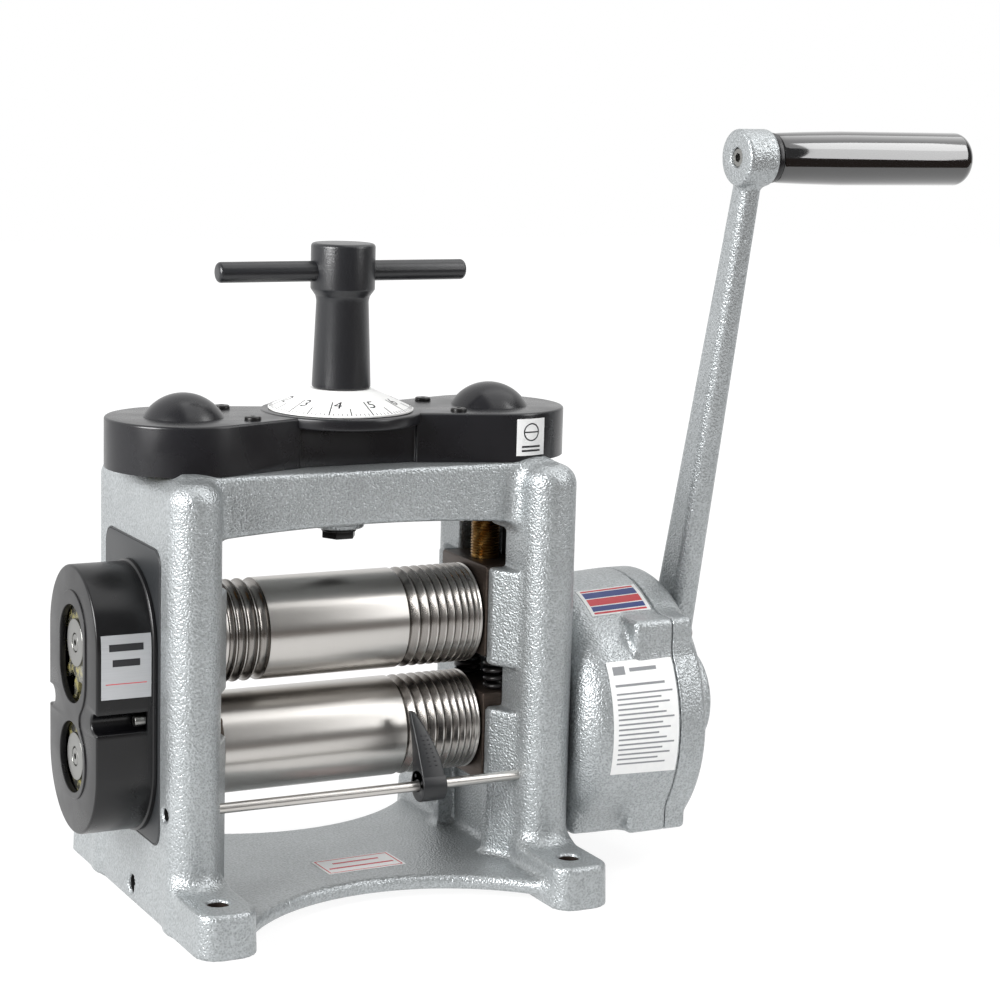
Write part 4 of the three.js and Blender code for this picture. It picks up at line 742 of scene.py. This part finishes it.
# Screw-down. A bronze screw over each upper block, cut with a 1.75 mm thread, is turned by steel gears under
# the top cover: a pinion on the tee handle's spindle, two idlers and a gear on each screw.
SCREW, LEAD = 9, 1.75
for side_name, side in (("left", -1), ("right", 1)):
    shell = Shell()
    rings = []
    for i in range(303):
        height = 190.3 + 0.3 * i
        ring = []
        for k in range(48):
            share = (height / LEAD - k / 48) % 1
            depth = 0.95 * (1 - abs(2 * share - 1)) if 192 < height < 262 else 0.4
            turn, out = math.pi * k / 24, SCREW - depth
            ring.append((side * SCREW_X + out * math.cos(turn), out * math.sin(turn), height))
        rings.append(shell.ring(ring))
    shell.solid(rings)
    shell.made(f"{side_name}_threaded_screw", bronze, f"{side_name}_screw", "bronze",
        f"{side_name}_pressure_screw", sharp=50)
    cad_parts[f"{side_name}_screw_nut"].data.materials[0] = bronze
    for gear in ("screw_gear", "idler"):
        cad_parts[f"{side_name}_{gear}"].data.materials[0] = greased_steel
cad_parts["centre_pinion"].data.materials[0] = greased_steel
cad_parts["spindle"].data.materials[0] = turned_steel

# Spindle nut. A steel hexagon nut with a flange, on the spindle's lower end under the bridge. It is milled
# from bar, blackened in oil like the springs, and turns with the spindle just clear of the frame.
shell = Shell()
shell.plate([eased(ring_of(0, 0, 10.6, 6), 0.8), ring_of(0, 0, 5.8)], low=208.1, high=213.4, edge=0.7,
    place=along_z())
shell.turned(eased([(212.2, 5.8), (212.2, 10.4), (213.7, 10.4), (213.7, 5.8)], 0.3), along_z(), bored=True)
shell.turned(eased([(207.5, 5.4), (209.9, 5.4), (209.9, 0.5)], 0.4, closed=False), along_z())
shell.made("spindle_hexagon_nut", blackened_wire, "tee", "black_steel", "spindle_nut")

# Top cover. An injection moulding in black ABS: two round lobes with a dome over each pressure screw, a
# sunk panel between them, and a raised round under the dial. Four screws hold it to the frame.
LOBE_X, LOBE, COVER_LOW, ROOF, TOP, COVER_EDGE = SCREW_X, 45.0, 255.3, 281.0, 283.9, 1.5
DOME, DOME_HEIGHT, DOME_TOP, DOME_WALL = 22.9, 13.0, 297.4, 2.4

top_abs = moulded_abs("moulded_abs_glossy", "#18181b", 0.28)
shell = Shell()
place = along_z()
turns = [math.pi / 2 * s / 4 for s in range(5)]


def cover_outline(depth):
    """Two lobes, each running by a slant into the sunk panel between them."""
    slant = math.degrees(math.atan2(LOBE - 27.6, LOBE_X - 36.7))
    lean = 90 + slant * 1.15
    waist = eased([(60, 30.8), (36.7, 27.6), (36.7, 25), (20, 25)], 1.0, closed=False, steps=3)[1:-1]
    right = arc(LOBE_X, 0, LOBE, -lean, lean, 72) + waist
    left = [(-x, -y) for x, y in right]
    return inset(right + [(-x, y) for x, y in reversed(waist)] + left[: -len(waist)]
        + [(-x, -y) for x, y in waist] + [(x, -y) for x, y in reversed(waist)], depth)


outer = [shell.outline(place, COVER_LOW, cover_outline(0))]
for t in turns:
    height, depth = TOP - COVER_EDGE * (1 - math.sin(t)), COVER_EDGE * (1 - math.cos(t))
    outer.append(shell.outline(place, height, cover_outline(depth)))
inner = [shell.outline(place, z, cover_outline(2)) for z in (COVER_LOW, ROOF)]
shell.wall(*outer)
shell.wall(*inner)
shell.lid(outer[0], inner[0])
sphere = (DOME**2 + DOME_HEIGHT**2) / (2 * DOME_HEIGHT)
feet, hollows = [], []
for side in (-1, 1):
    for radius, floor, found in ((sphere, TOP, feet), (sphere - DOME_WALL, ROOF, hollows)):
        centre = DOME_TOP - sphere
        start = math.asin((floor - centre) / radius)
        levels = [start + (math.pi / 2 - start) * i / 16 for i in range(16)]
        lobe = along_z(side * LOBE_X)
        rings = [shell.round(lobe, centre + radius * math.sin(t), radius * math.cos(t), 64) for t in levels]
        shell.wall(*rings)
        crown = shell.ring([lobe(centre + radius, 0, 0)])[0]
        last = rings[-1]
        shell.faces += [(last[i], last[(i + 1) % 64], crown) for i in range(64)]
        found.append(rings[0])
bores = [shell.outline(place, z, ring_of(0, 0, 8.4)) for z in (TOP, ROOF)]
shell.lid(outer[-1], *feet, bores[0])
shell.lid(inner[-1], *hollows, bores[1])
shell.wall(*bores)
disc = [(277.7, 8.6), (277.7, 47.5), (284.4, 47.5), (284.4, 8.6)]
shell.turned(eased(disc, 1.3), along_z(), sides=128, bored=True)
shell.made("top_cover_moulding", top_abs, "root", "black_moulding", "top_cover", sharp=35)

# Top cover screws. Four pan heads with a socket, cold-formed from steel and blackened, two beside each lobe.
# They hold the cover down on the frame.
shell = Shell()
for side in (-1, 1):
    for way in (-1, 1):
        socket_screw(shell, along_z(side * 65, way * 24.6), face=TOP + 2.1, way=-1, head=4.8, depth=2.3,
            flats=2.8, sink=1.4, edge=2.4)
shell.made("top_cover_screws", blackened_wire, "root", "black_steel")

# Top cover label. A white vinyl square on the right lobe, with a plain sign for turning the handle: a hoop
# with a spoke, over two bars.
def hoop(shell, on, centre, outer, inner, base, top):
    """A flat printed hoop."""
    turns = [2 * math.pi * i / 32 for i in range(32)]
    rings = [
        shell.ring([on(centre[0] + r * math.sin(t), centre[1] + r * math.cos(t), h) for t in turns])
        for r, h in ((outer, base), (outer, top), (inner, top), (inner, base))
    ]
    shell.wall(*rings, rings[0])


def on_lobe(height, run, lift):
    """A place on the right lobe's front wall: its height, and the way round from the label's middle."""
    turn = math.radians(-82.5) + run / LOBE
    return LOBE_X + (LOBE + lift) * math.cos(turn), (LOBE + lift) * math.sin(turn), height


# White vinyl: a calendered film, nearly smooth, that shows a little of what lies under it.
white_vinyl = grained("white_vinyl_film", 4, 2, {"Roughness": 0.36}, tones=("#e4e5e5", "#f0f0ef"),
    relief=(0.3, 0.05))

stuck_on("top_cover_label", white_vinyl, "dial_white", on_lobe,
    [((258.7, -9.8), (280.6, 9.8), 12)], base=0.02, top=0.22)
shell = Shell()
hoop(shell, on_lobe, (272.6, 0), outer=5.4, inner=4.6, base=0.18, top=0.27)
stuck_on("top_cover_label_print", print_black, "black_moulding", on_lobe,
    [((272.2, -4.7), (273.0, 4.7), 4), ((263.4, -6.4), (264.6, 6.4), 6), ((261.0, -6.4), (262.2, 6.4), 6)],
    base=0.18, top=0.27, shell=shell)

# Dial. A turned aluminium collar enamelled white, printed with ten numbers and a scale, that turns with
# the tee handle and shows the roll gap.
dial_enamel = grained("white_dial_enamel", 9, 3, {"Roughness": 0.32}, tones=("#eeeeec", "#f8f8f7"))

shell = Shell()
DIAL, DIAL_LOW, DIAL_TOP, DIAL_NECK, DIAL_BORE = 42.6, 285.9, 297.0, 17.8, 8.3
dial_path = [(284.7, DIAL_BORE), (284.7, DIAL), (DIAL_LOW, DIAL), (DIAL_TOP, DIAL_NECK),
    (DIAL_TOP, DIAL_BORE)]
shell.turned(eased(dial_path, 0.3), along_z(), sides=160, bored=True)
shell.made("dial_collar", dial_enamel, "tee", "dial_white", "dial")

SLOPE = math.atan2(DIAL_TOP - DIAL_LOW, DIAL - DIAL_NECK)
FOUR = math.radians(-123)  # where the line of the number 4 stands at rest


def on_dial(across, up, turn, lift):
    """A place on the dial's cone: up the slope from its rim, and across from a line of the scale."""
    radius = DIAL - up * math.cos(SLOPE)
    angle = turn + across / radius
    out = radius + lift * math.sin(SLOPE)
    height = DIAL_LOW + up * math.sin(SLOPE) + lift * math.cos(SLOPE)
    return out * math.cos(angle), out * math.sin(angle), height


shell = Shell()
for i in range(100):
    turn = FOUR + 2 * math.pi * i / 100
    long, half = (15.0, 0.34) if i % 10 == 0 else (8.0, 0.3) if i % 5 == 0 else (2.6, 0.2)
    tick = corners(-half, half, 0.5, long)
    shell.solid([shell.ring([on_dial(a, up, turn, lift) for a, up in tick]) for lift in (0.02, 0.08)])
for i in range(10):
    turn = FOUR + 2 * math.pi * i / 10
    curve = bpy.data.curves.new("figure", "FONT")
    curve.body = str((4 + i) % 10)
    curve.size = 10.5
    curve.align_x = "CENTER"
    text = bpy.data.objects.new("figure", curve)
    flat = text.to_mesh()
    first = len(shell.points)
    shell.points += [on_dial(v.co.x + 3.6, v.co.y + 8.2, turn, 0.08) for v in flat.vertices]
    shell.faces += [tuple(first + k for k in p.vertices) for p in flat.polygons]
    text.to_mesh_clear()
    bpy.data.objects.remove(text)
    bpy.data.curves.remove(curve)
dress(piece("dial_scale_print", shell.points, shell.faces, print_black), "tee")

# Tee handle. A turned steel post, pinned on the spindle, and a bar through its head. Both are powder
# coated black with a fine sand texture, drawn 0.8 mm, that gives a soft broken shine.
sand_coat = grained("fine_textured_powder_coat", 0.8, 2, {"Base Color": linear("#1b1c1f"), "Roughness": 0.3,
    "IOR": 1.55}, relief=(0.8, 0.12))

shell = Shell()
profile = [(297.3, 14), (297.3, 17.2), (300, 17.2), (348, 15.3), (351, 15.9), (355, 18.8), (381.6, 18.8),
    (381.6, 2)]
shell.turned(eased(profile, 2.2, closed=False, steps=6), along_z(), sides=96)
shell.made("tee_post_coated", sand_coat, "tee", "black_steel", "tee_post", sharp=50)
shell = Shell()
profile = [(-78, 0.6), (-78, 6), (78, 6), (78, 0.6)]
shell.turned(eased(profile, 3.8, closed=False, steps=8), along_x(0, 365.4), sides=48)
shell.made("tee_bar_coated", sand_coat, "tee", "black_steel", "tee_bar", sharp=50)

# Gearbox. Two iron castings in the same enamel: a drum with a well-rounded back, four corner lugs and a
# flat underside, and a lid held by a screw in each lug. The crank's planet gears run inside.
SEAM, LID_FACE, DRUM, SOLE, BORE, BOSS = 190.0, 209.5, 85.1, 65.1, 60.3, 24
LUG_PLACES = [(-58.5, 56), (58.5, 56), (-57.5, -53.1), (57.5, -53.1)]


def drum_radius(x):
    return DRUM - 0.055 * (SEAM - x)


def lug_form(y, up):
    return np.minimum.reduce([round_bar(y - a, up - b, 12.6, 12, 4) for a, b in LUG_PLACES])


def gearbox_form(x, y, z):
    up = z - LOWER_AXIS
    radius = np.hypot(y, up)
    back, lug_back, sole_back, floor, boss_end = 127.7, 164.5, 131.5, 135.7, 149
    drum = rounded(radius - drum_radius(x), back - x, 20)
    lugs = rounded(lug_form(y, up), lug_back - x, 4)
    metal = filleted(drum, lugs, 3)
    sole = rounded(round_bar(y, up + 57.5, 58, 7.6, 3), sole_back - x, 4)
    metal = rounded(filleted(metal, sole, 6), -SOLE - up, 2)
    metal = rounded(metal, x - SEAM, 0.8)
    hollow = np.maximum(np.maximum(radius - BORE, floor - x), np.minimum(BOSS - radius, boss_end - x))
    return rounded(metal, -np.minimum(hollow, radius - 15.6), 0.8)


def lid_form(x, y, z):
    up = z - LOWER_AXIS
    radius = np.hypot(y, up)
    lug_face, roof, boss_end = 204.9, 203, 191.9
    disc = rounded(radius - DRUM, x - LID_FACE, 5)
    metal = filleted(disc, rounded(lug_form(y, up), x - lug_face, 3.5), 3)
    metal = rounded(metal, -SOLE - up, 2)
    metal = rounded(metal, SEAM + 0.3 - x, 0.8)
    hollow = np.maximum(np.maximum(radius - BORE, x - roof), np.minimum(BOSS - radius, x - boss_end))
    return rounded(metal, -np.minimum(hollow, radius - 15.4), 0.8)


drum = piece("gearbox_drum", *cast(gearbox_form, (127, -86, 25), (190, 86, 176), 1.4), enamel)
lid = piece("gearbox_lid", *cast(lid_form, (190, -86, 25), (210, 86, 176), 1.4), enamel)
dress(drum, "root", "gearbox_body")
dress(lid, "root", "gearbox_cover")

shell = Shell()
for y, up in LUG_PLACES:
    socket_screw(shell, along_x(y, LOWER_AXIS + up), face=208.9, way=-1, head=5.0, depth=4.2, flats=5.0,
        sink=2.8)
shell.made("gearbox_screws", turned_steel, "root", "machined_steel")
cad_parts["crank_shaft_bush"].data.materials[0] = bronze
for node in ("ring_gear", "planet_carrier", "planet_gear_1", "planet_gear_2", "planet_gear_3", "crank_shaft"):
    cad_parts[node].data.materials[0] = greased_steel

# Gearbox labels. Two white vinyl films stuck round the drum: one ruled with plain grey bars, the other with
# bands of red and blue.
def on_drum(x, turn, lift):
    """A place on the drum: along the shaft, and the turn from the front towards the top, in degrees."""
    out, turn = drum_radius(x) + lift, math.radians(turn)
    return x, -out * math.cos(turn), LOWER_AXIS + out * math.sin(turn)


stuck_on("gearbox_labels", white_vinyl, "dial_white", on_drum,
    [((144.8, -15.6), (188.4, 32.5), 24), ((147.2, 55), (187.6, 72), 10)], base=0.02, top=0.24)
bars = [((148, 26.6), (156, 30.2), 2), ((159, 27.6), (177, 29.2), 1), ((148, 21.6), (181, 22.6), 1)]
for row in range(15):
    low = 18.2 - 2.1 * row
    bars.append(((148, low), (185.4 - 2.6 * (row * 3 % 5), low + 0.7), 1))
stuck_on("gearbox_label_bars", print_grey, "dial_white", on_drum, bars, base=0.2, top=0.29)
for name, finish, bands in (
    ("red", print_red, ((55.9, 56.9), (60.9, 65.1), (70.2, 71.2))),
    ("blue", print_blue, ((57.5, 60.3), (65.7, 69.6))),
):
    stuck_on(f"gearbox_label_{name}_bands", finish, "dial_white", on_drum,
        [((149.5, low), (185.3, high), 4) for low, high in bands], base=0.2, top=0.29)

# Base label. A white vinyl film stuck on the base plate near its front edge, printed with a red border and
# two blank red bars.
def on_plate(across, away, lift):
    """A place on the base plate's flat top, from the middle of its label."""
    skew = math.radians(1.7)
    return (6.1 + across * math.cos(skew) - away * math.sin(skew),
        -23.5 + across * math.sin(skew) + away * math.cos(skew), 13.7 + lift)


stuck_on("base_label", white_vinyl, "dial_white", on_plate,
    [((-25.4, -13), (25.4, 13), 1)], base=0.02, top=0.24)
bars = []
for way in (-1, 1):
    bars += [((-23.9, way * 11.4 - 0.4), (23.9, way * 11.4 + 0.4), 1),
        ((way * 23.5 - 0.4, -11), (way * 23.5 + 0.4, 11), 1),
        ((-18 + 3 * way, way * 4.2 - 1), (18 - 3 * way, way * 4.2 + 1), 1)]
stuck_on("base_label_border", print_red, "dial_white", on_plate, bars, base=0.2, top=0.29)

# Crank. A cast-iron arm in the same enamel, tapering from its hub to the eye for the grip, keyed on the
# gearbox's shaft and held by a black button screw. At rest it leans 13.36 degrees to the front.
LEAN, ARM = math.radians(13.36), 354.8


def on_crank(up=0.0):
    """Place on the crank: along X, and across and up the arm from the shaft's axis."""
    def place(along, u, v):
        y, z = u, v + up
        return (along, y * math.cos(LEAN) - z * math.sin(LEAN),
            LOWER_AXIS + y * math.sin(LEAN) + z * math.cos(LEAN))
    return place


def arm_form(x, y, z):
    hub_radius, eye_radius, shaft_bore, bolt_bore, middle = 33, 16.8, 12.3, 5.8, 225
    hub = rounded(np.hypot(y, z) - hub_radius, between(x, 212.4, 244.5), 3)
    share = np.clip(z / ARM, 0, 1)
    bar = round_bar(y, x - middle, 15.6 - 7.2 * share, 9.4 - 3 * share, 7 - 1.2 * share)
    bar = np.maximum(bar, between(z, 0, ARM))
    eye = rounded(np.hypot(y, z - ARM) - eye_radius, between(x, 214.25, 234.75), 2)
    metal = filleted(filleted(hub, bar, 9), eye, 3)
    metal = rounded(metal, bolt_bore - np.hypot(y, z - ARM), 0.6)
    return rounded(metal, -np.maximum(np.hypot(y, z) - shaft_bore, x - 238.4), 0.8)


points, faces = cast(arm_form, (212, -33, -33), (245, 33, 372), 1.5)
points = [on_crank()(*p) for p in points]
dress(piece("crank_arm_casting", points, faces, enamel), "crank", "crank_arm")

shell = Shell()
socket_screw(shell, on_crank(), face=248.3, way=-1, head=8.0, depth=3.5, flats=5.0, sink=2.4,
    stem=(3.0, 14.0), edge=1.2)
shell.made("crank_button_screw", blackened_wire, "crank", "black_steel", "crank_screw")

# Grip bolt. A long turned steel bolt with a socket in its end, put through the arm's eye. The grip spins on
# it.
shell = Shell()
socket_screw(shell, on_crank(ARM), face=215.25, way=1, head=5.5, depth=130.0, flats=5.0, sink=5.0)
shell.made("grip_bolt", turned_steel, "crank", "machined_steel", "handle_bolt")

# Grip. A turned handle of black cast acrylic, polished, that spins on its bolt, with a moulded
# collar between it and the arm's eye.
polished_black = grained("polished_black_acrylic", 14, 3, {"Base Color": linear("#0b0b0d"), "IOR": 1.6,
    "Coat Weight": 1.0, "Coat Roughness": 0.06, "Coat IOR": 1.6}, shine=(0.06, 0.11))

shell = Shell()
collar_path = [(235.05, 5.8), (235.05, 14.8), (239.05, 14.8), (239.05, 5.8)]
shell.turned(eased(collar_path, 0.9), on_crank(ARM), sides=72, bored=True)
shell.made("grip_collar", top_abs, "crank", "black_moulding", "handle_collar")

shell = Shell()
profile = [(239.35, 6), (239.35, 14.2), (243, 14.8), (260, 15.5), (285, 16.1), (370, 16.1)]
profile = eased(profile, 1.2, closed=False)
turns = [math.pi / 2 * i / 12 for i in range(1, 13)]
profile += [(370 + 8 * math.sin(t), 8.1 + 8 * math.cos(t)) for t in turns]
shell.turned([*profile, (378, 1)], on_crank(ARM), sides=96)
shell.made("crank_grip_polished", polished_black, "crank_grip", "grip_plastic", "grip", sharp=50)

# Guide rod. A ground steel rod with rounded ends, pushed through the front pillars. It carries the wire guide
# and turns in its holes, so that the guide tips away.
shell = Shell()
rod_path = eased([(-116, 0.4), (-116, 3), (108, 3), (108, 0.4)], 0.6, closed=False)
shell.turned(rod_path, along_x(-PILLAR_Y, ROD_Z), sides=32)
shell.made("guide_rod_ground", ground_steel, "rod", "ground_steel", "guide_rod", sharp=50)

# Set screws. One screw in the left housing clamps the rod, and a bigger one closes the tapped hole low in
# its side. Both are dull black, and a thin dark liner runs round each hole's wall: the liners and the screws'
# black are painted shade in the holes.
shell = Shell()
socket_screw(shell, along_x(-PILLAR_Y, ROD_Z), face=-120.5, way=1, head=3.9, depth=4, flats=2.0, sink=2)
socket_screw(shell, along_x(0, LEVEL_Z), face=-119, way=1, head=5.35, depth=6, flats=3.0, sink=3)
# Dark liners round the holes' walls: painted shade.
for y, z, radius, end in ((-PILLAR_Y, ROD_Z, 3.95, -120.4), (0, LEVEL_Z, 5.45, -118.9)):
    bore = [(-126.2, radius), (end, radius), (end, radius - 0.25), (-126.2, radius - 0.25)]
    shell.turned(bore, along_x(y, z), sides=48, bored=True)
shell.made("housing_set_screws_and_shade_liners", shade_black_phosphate, "root", "black_steel")

# Wire guide. A finger moulded in black nylon that points wire into a groove: a barrel on the rod with a wedge
# that runs to a point. It slides along the rod to the groove in use.
finger_nylon = moulded_abs("moulded_nylon", "#1d1e20", 0.4)
FINGER_X, FINGER_UP = 29.5, 41.5


def wedge(share):
    """The finger's width along the rod, and its front and back, from the barrel to the point."""
    depth, middle = 15 * (1 - share) ** 1.4 + 3.6, 14 * share**1.5
    return 3 + 12 * (1 - share**2.2), middle - depth / 2, middle + depth / 2


shell = Shell()
barrel = [(FINGER_X, 3.3), (FINGER_X, 9.5), (FINGER_X + 15, 9.5), (FINGER_X + 15, 3.3)]
shell.turned(eased(barrel, 0.5), along_x(-PILLAR_Y, ROD_Z), sides=64, bored=True)
rings = []
for i in range(13):
    width, front, rear = wedge(i / 12)
    outline = eased(corners(FINGER_X, FINGER_X + width, front, rear), min(1.2, width / 3), steps=3)
    rings.append(shell.ring([(x, y - PILLAR_Y, ROD_Z + FINGER_UP * i / 12) for x, y in outline]))
shell.solid(rings)
shell.made("wire_guide_finger", finger_nylon, "finger", "black_moulding", "wire_guide", sharp=50)

# The finger's scale: two rows of small dots printed on its front, and three black discs on the barrel's end
# where its mould leaves blind holes: painted shade for the dark inside the holes.
shell = Shell()
for row in range(8):
    share = 0.3 + 0.055 * row
    width, front, _ = wedge(share)
    for across in (0.42, 0.7):
        x, z = FINGER_X + width * across, ROD_Z + FINGER_UP * share
        dot, y = ring_of(0, 0, 0.65, 8), front - PILLAR_Y
        shell.solid([shell.ring([(x + u, y + lift, z + v) for u, v in dot]) for lift in (0.3, -0.12)])
# Black discs at the blind holes: painted shade.
for turn in (60, 150, 240):
    u, v = 6.4 * math.cos(math.radians(turn)), 6.4 * math.sin(math.radians(turn))
    shell.turned([(FINGER_X - 0.05, 1.1), (FINGER_X + 0.4, 1.1)], along_x(u - PILLAR_Y, v + ROD_Z), sides=16)
shell.made("wire_guide_scale_dots", print_black, "finger", "black_moulding")

# Bench, light and camera. A white sweep in soft studio light: a large window-like lamp from the front left,
# a tall strip from the front right, and one overhead. The room behind the camera is dark below bench level.
floor_mesh = bpy.data.meshes.new("studio_floor")
floor_mesh.from_pydata([(-4, -0.7, 0), (4, -0.7, 0), (4, 5, 0), (-4, 5, 0)], [], [(0, 1, 2, 3)])
floor = bpy.data.objects.new("studio_floor", floor_mesh)
bpy.context.scene.collection.objects.link(floor)
sweep = blank("white_paper_sweep")
paper = add(sweep, "BsdfPrincipled", {"Base Color": linear("#f0f0f0"), "Roughness": 0.9})
glow = add(sweep, "Emission", {"Color": (1, 1, 1, 1), "Strength": 1.1})
rays = add(sweep, "LightPath")
mirrored = add(sweep, "Math", {0: rays.outputs["Is Glossy Ray"], 1: rays.outputs["Is Transmission Ray"]},
    operation="ADD")
seen = add(sweep, "Math", {0: rays.outputs["Is Camera Ray"], 1: mirrored.outputs[0]}, operation="ADD")
at = add(sweep, "TexCoord").outputs["Object"]
away = add(sweep, "VectorMath", {0: at}, operation="LENGTH")
fade = add(sweep, "MapRange", {"Value": away.outputs["Value"], "From Min": 0.5, "From Max": 1.6,
    "To Min": 0.82, "To Max": 1.0})
share = add(sweep, "Math", {0: seen.outputs[0], 1: fade.outputs[0]}, operation="MULTIPLY")
mixed = add(sweep, "MixShader", {0: share.outputs[0], 1: paper.outputs[0], 2: glow.outputs[0]})
add(sweep, "OutputMaterial", {"Surface": mixed.outputs[0]})
floor_mesh.materials.append(sweep)

world = bpy.data.worlds.new("studio")
bpy.context.scene.world = world
world.use_nodes = True
world.node_tree.nodes.clear()
rays = add(world, "LightPath")
direction = add(world, "TexCoord")
split = add(world, "SeparateXYZ", {0: direction.outputs["Generated"]})
white = add(world, "MapRange", {"Value": split.outputs["Y"], "From Min": -0.1, "From Max": 0.3})
across = add(world, "MapRange", {"Value": split.outputs["X"], "From Min": -0.8, "From Max": 0.8,
    "To Min": 0.33, "To Max": 0.14})
above = add(world, "MapRange", {"Value": split.outputs["Z"], "From Min": -0.06, "From Max": 0.1})
room = add(world, "MixRGB", {"Fac": above.outputs[0], "Color1": (0.11, 0.085, 0.07, 1),
    "Color2": across.outputs[0]})
shot = add(world, "Math", {0: white.outputs[0], 1: rays.outputs["Is Camera Ray"]}, operation="MAXIMUM")
seen = add(world, "MixRGB", {"Fac": shot.outputs[0], "Color1": room.outputs[0], "Color2": (1, 1, 1, 1)})
soft = add(world, "Math", {0: rays.outputs["Is Diffuse Ray"], 1: 0.5}, operation="MULTIPLY")
keep = add(world, "Math", {0: 1.0, 1: soft.outputs[0]}, operation="SUBTRACT")
sky = add(world, "Background", {"Color": seen.outputs[0], "Strength": keep.outputs[0]})
add(world, "OutputWorld", {"Surface": sky.outputs[0]})

for name, place, aim, upright, width, height, power in (
    ("window_left", (-1.3, -0.39, 0.78), (-0.05, 0, 0.15), (0, 0, 1), 0.75, 0.75, 33),
    ("strip_right", (1.2, -1.05, 1.15), (0.25, 0, 0.4), (0, 0.57, 0.82), 0.55, 1.7, 14),
    ("overhead", (0.75, -0.3, 1.9), (0.1, 0, 0.2), (0, 1, 0), 2.0, 2.0, 18),
):
    lamp = bpy.data.lights.new(name, "AREA")
    lamp.shape = "RECTANGLE"
    lamp.size, lamp.size_y = width, height
    lamp.energy = power
    light = bpy.data.objects.new(name, lamp)
    away = (Vector(place) - Vector(aim)).normalized()
    wide = Vector(upright).cross(away).normalized()
    turn = Matrix((wide, away.cross(wide), away)).transposed().to_4x4()
    light.matrix_world = Matrix.Translation(Vector(place)) @ turn
    bpy.context.scene.collection.objects.link(light)

azimuth, elevation, tilt = (math.radians(v) for v in (-27.44, 9.67, 1.56))
back = Vector((math.sin(azimuth) * math.cos(elevation), -math.cos(azimuth) * math.cos(elevation),
    math.sin(elevation)))
level = Vector((math.cos(azimuth), math.sin(azimuth), 0))
upright = back.cross(level)
right = math.cos(tilt) * level + math.sin(tilt) * upright
up = math.cos(tilt) * upright - math.sin(tilt) * level
view = bpy.data.cameras.new("view")
view.lens, view.sensor_width = 93.23, 36.0
view.clip_start, view.clip_end = 0.05, 50
camera = bpy.data.objects.new("view", view)
spot = Vector((-609.5, -1379.6, 489.3)) * MM
camera.matrix_world = Matrix.Translation(spot) @ Matrix((right, up, back)).transposed().to_4x4()
bpy.context.scene.collection.objects.link(camera)
bpy.context.scene.camera = camera
bpy.context.scene.view_settings.view_transform = "Standard"

bpy.context.view_layer.update()
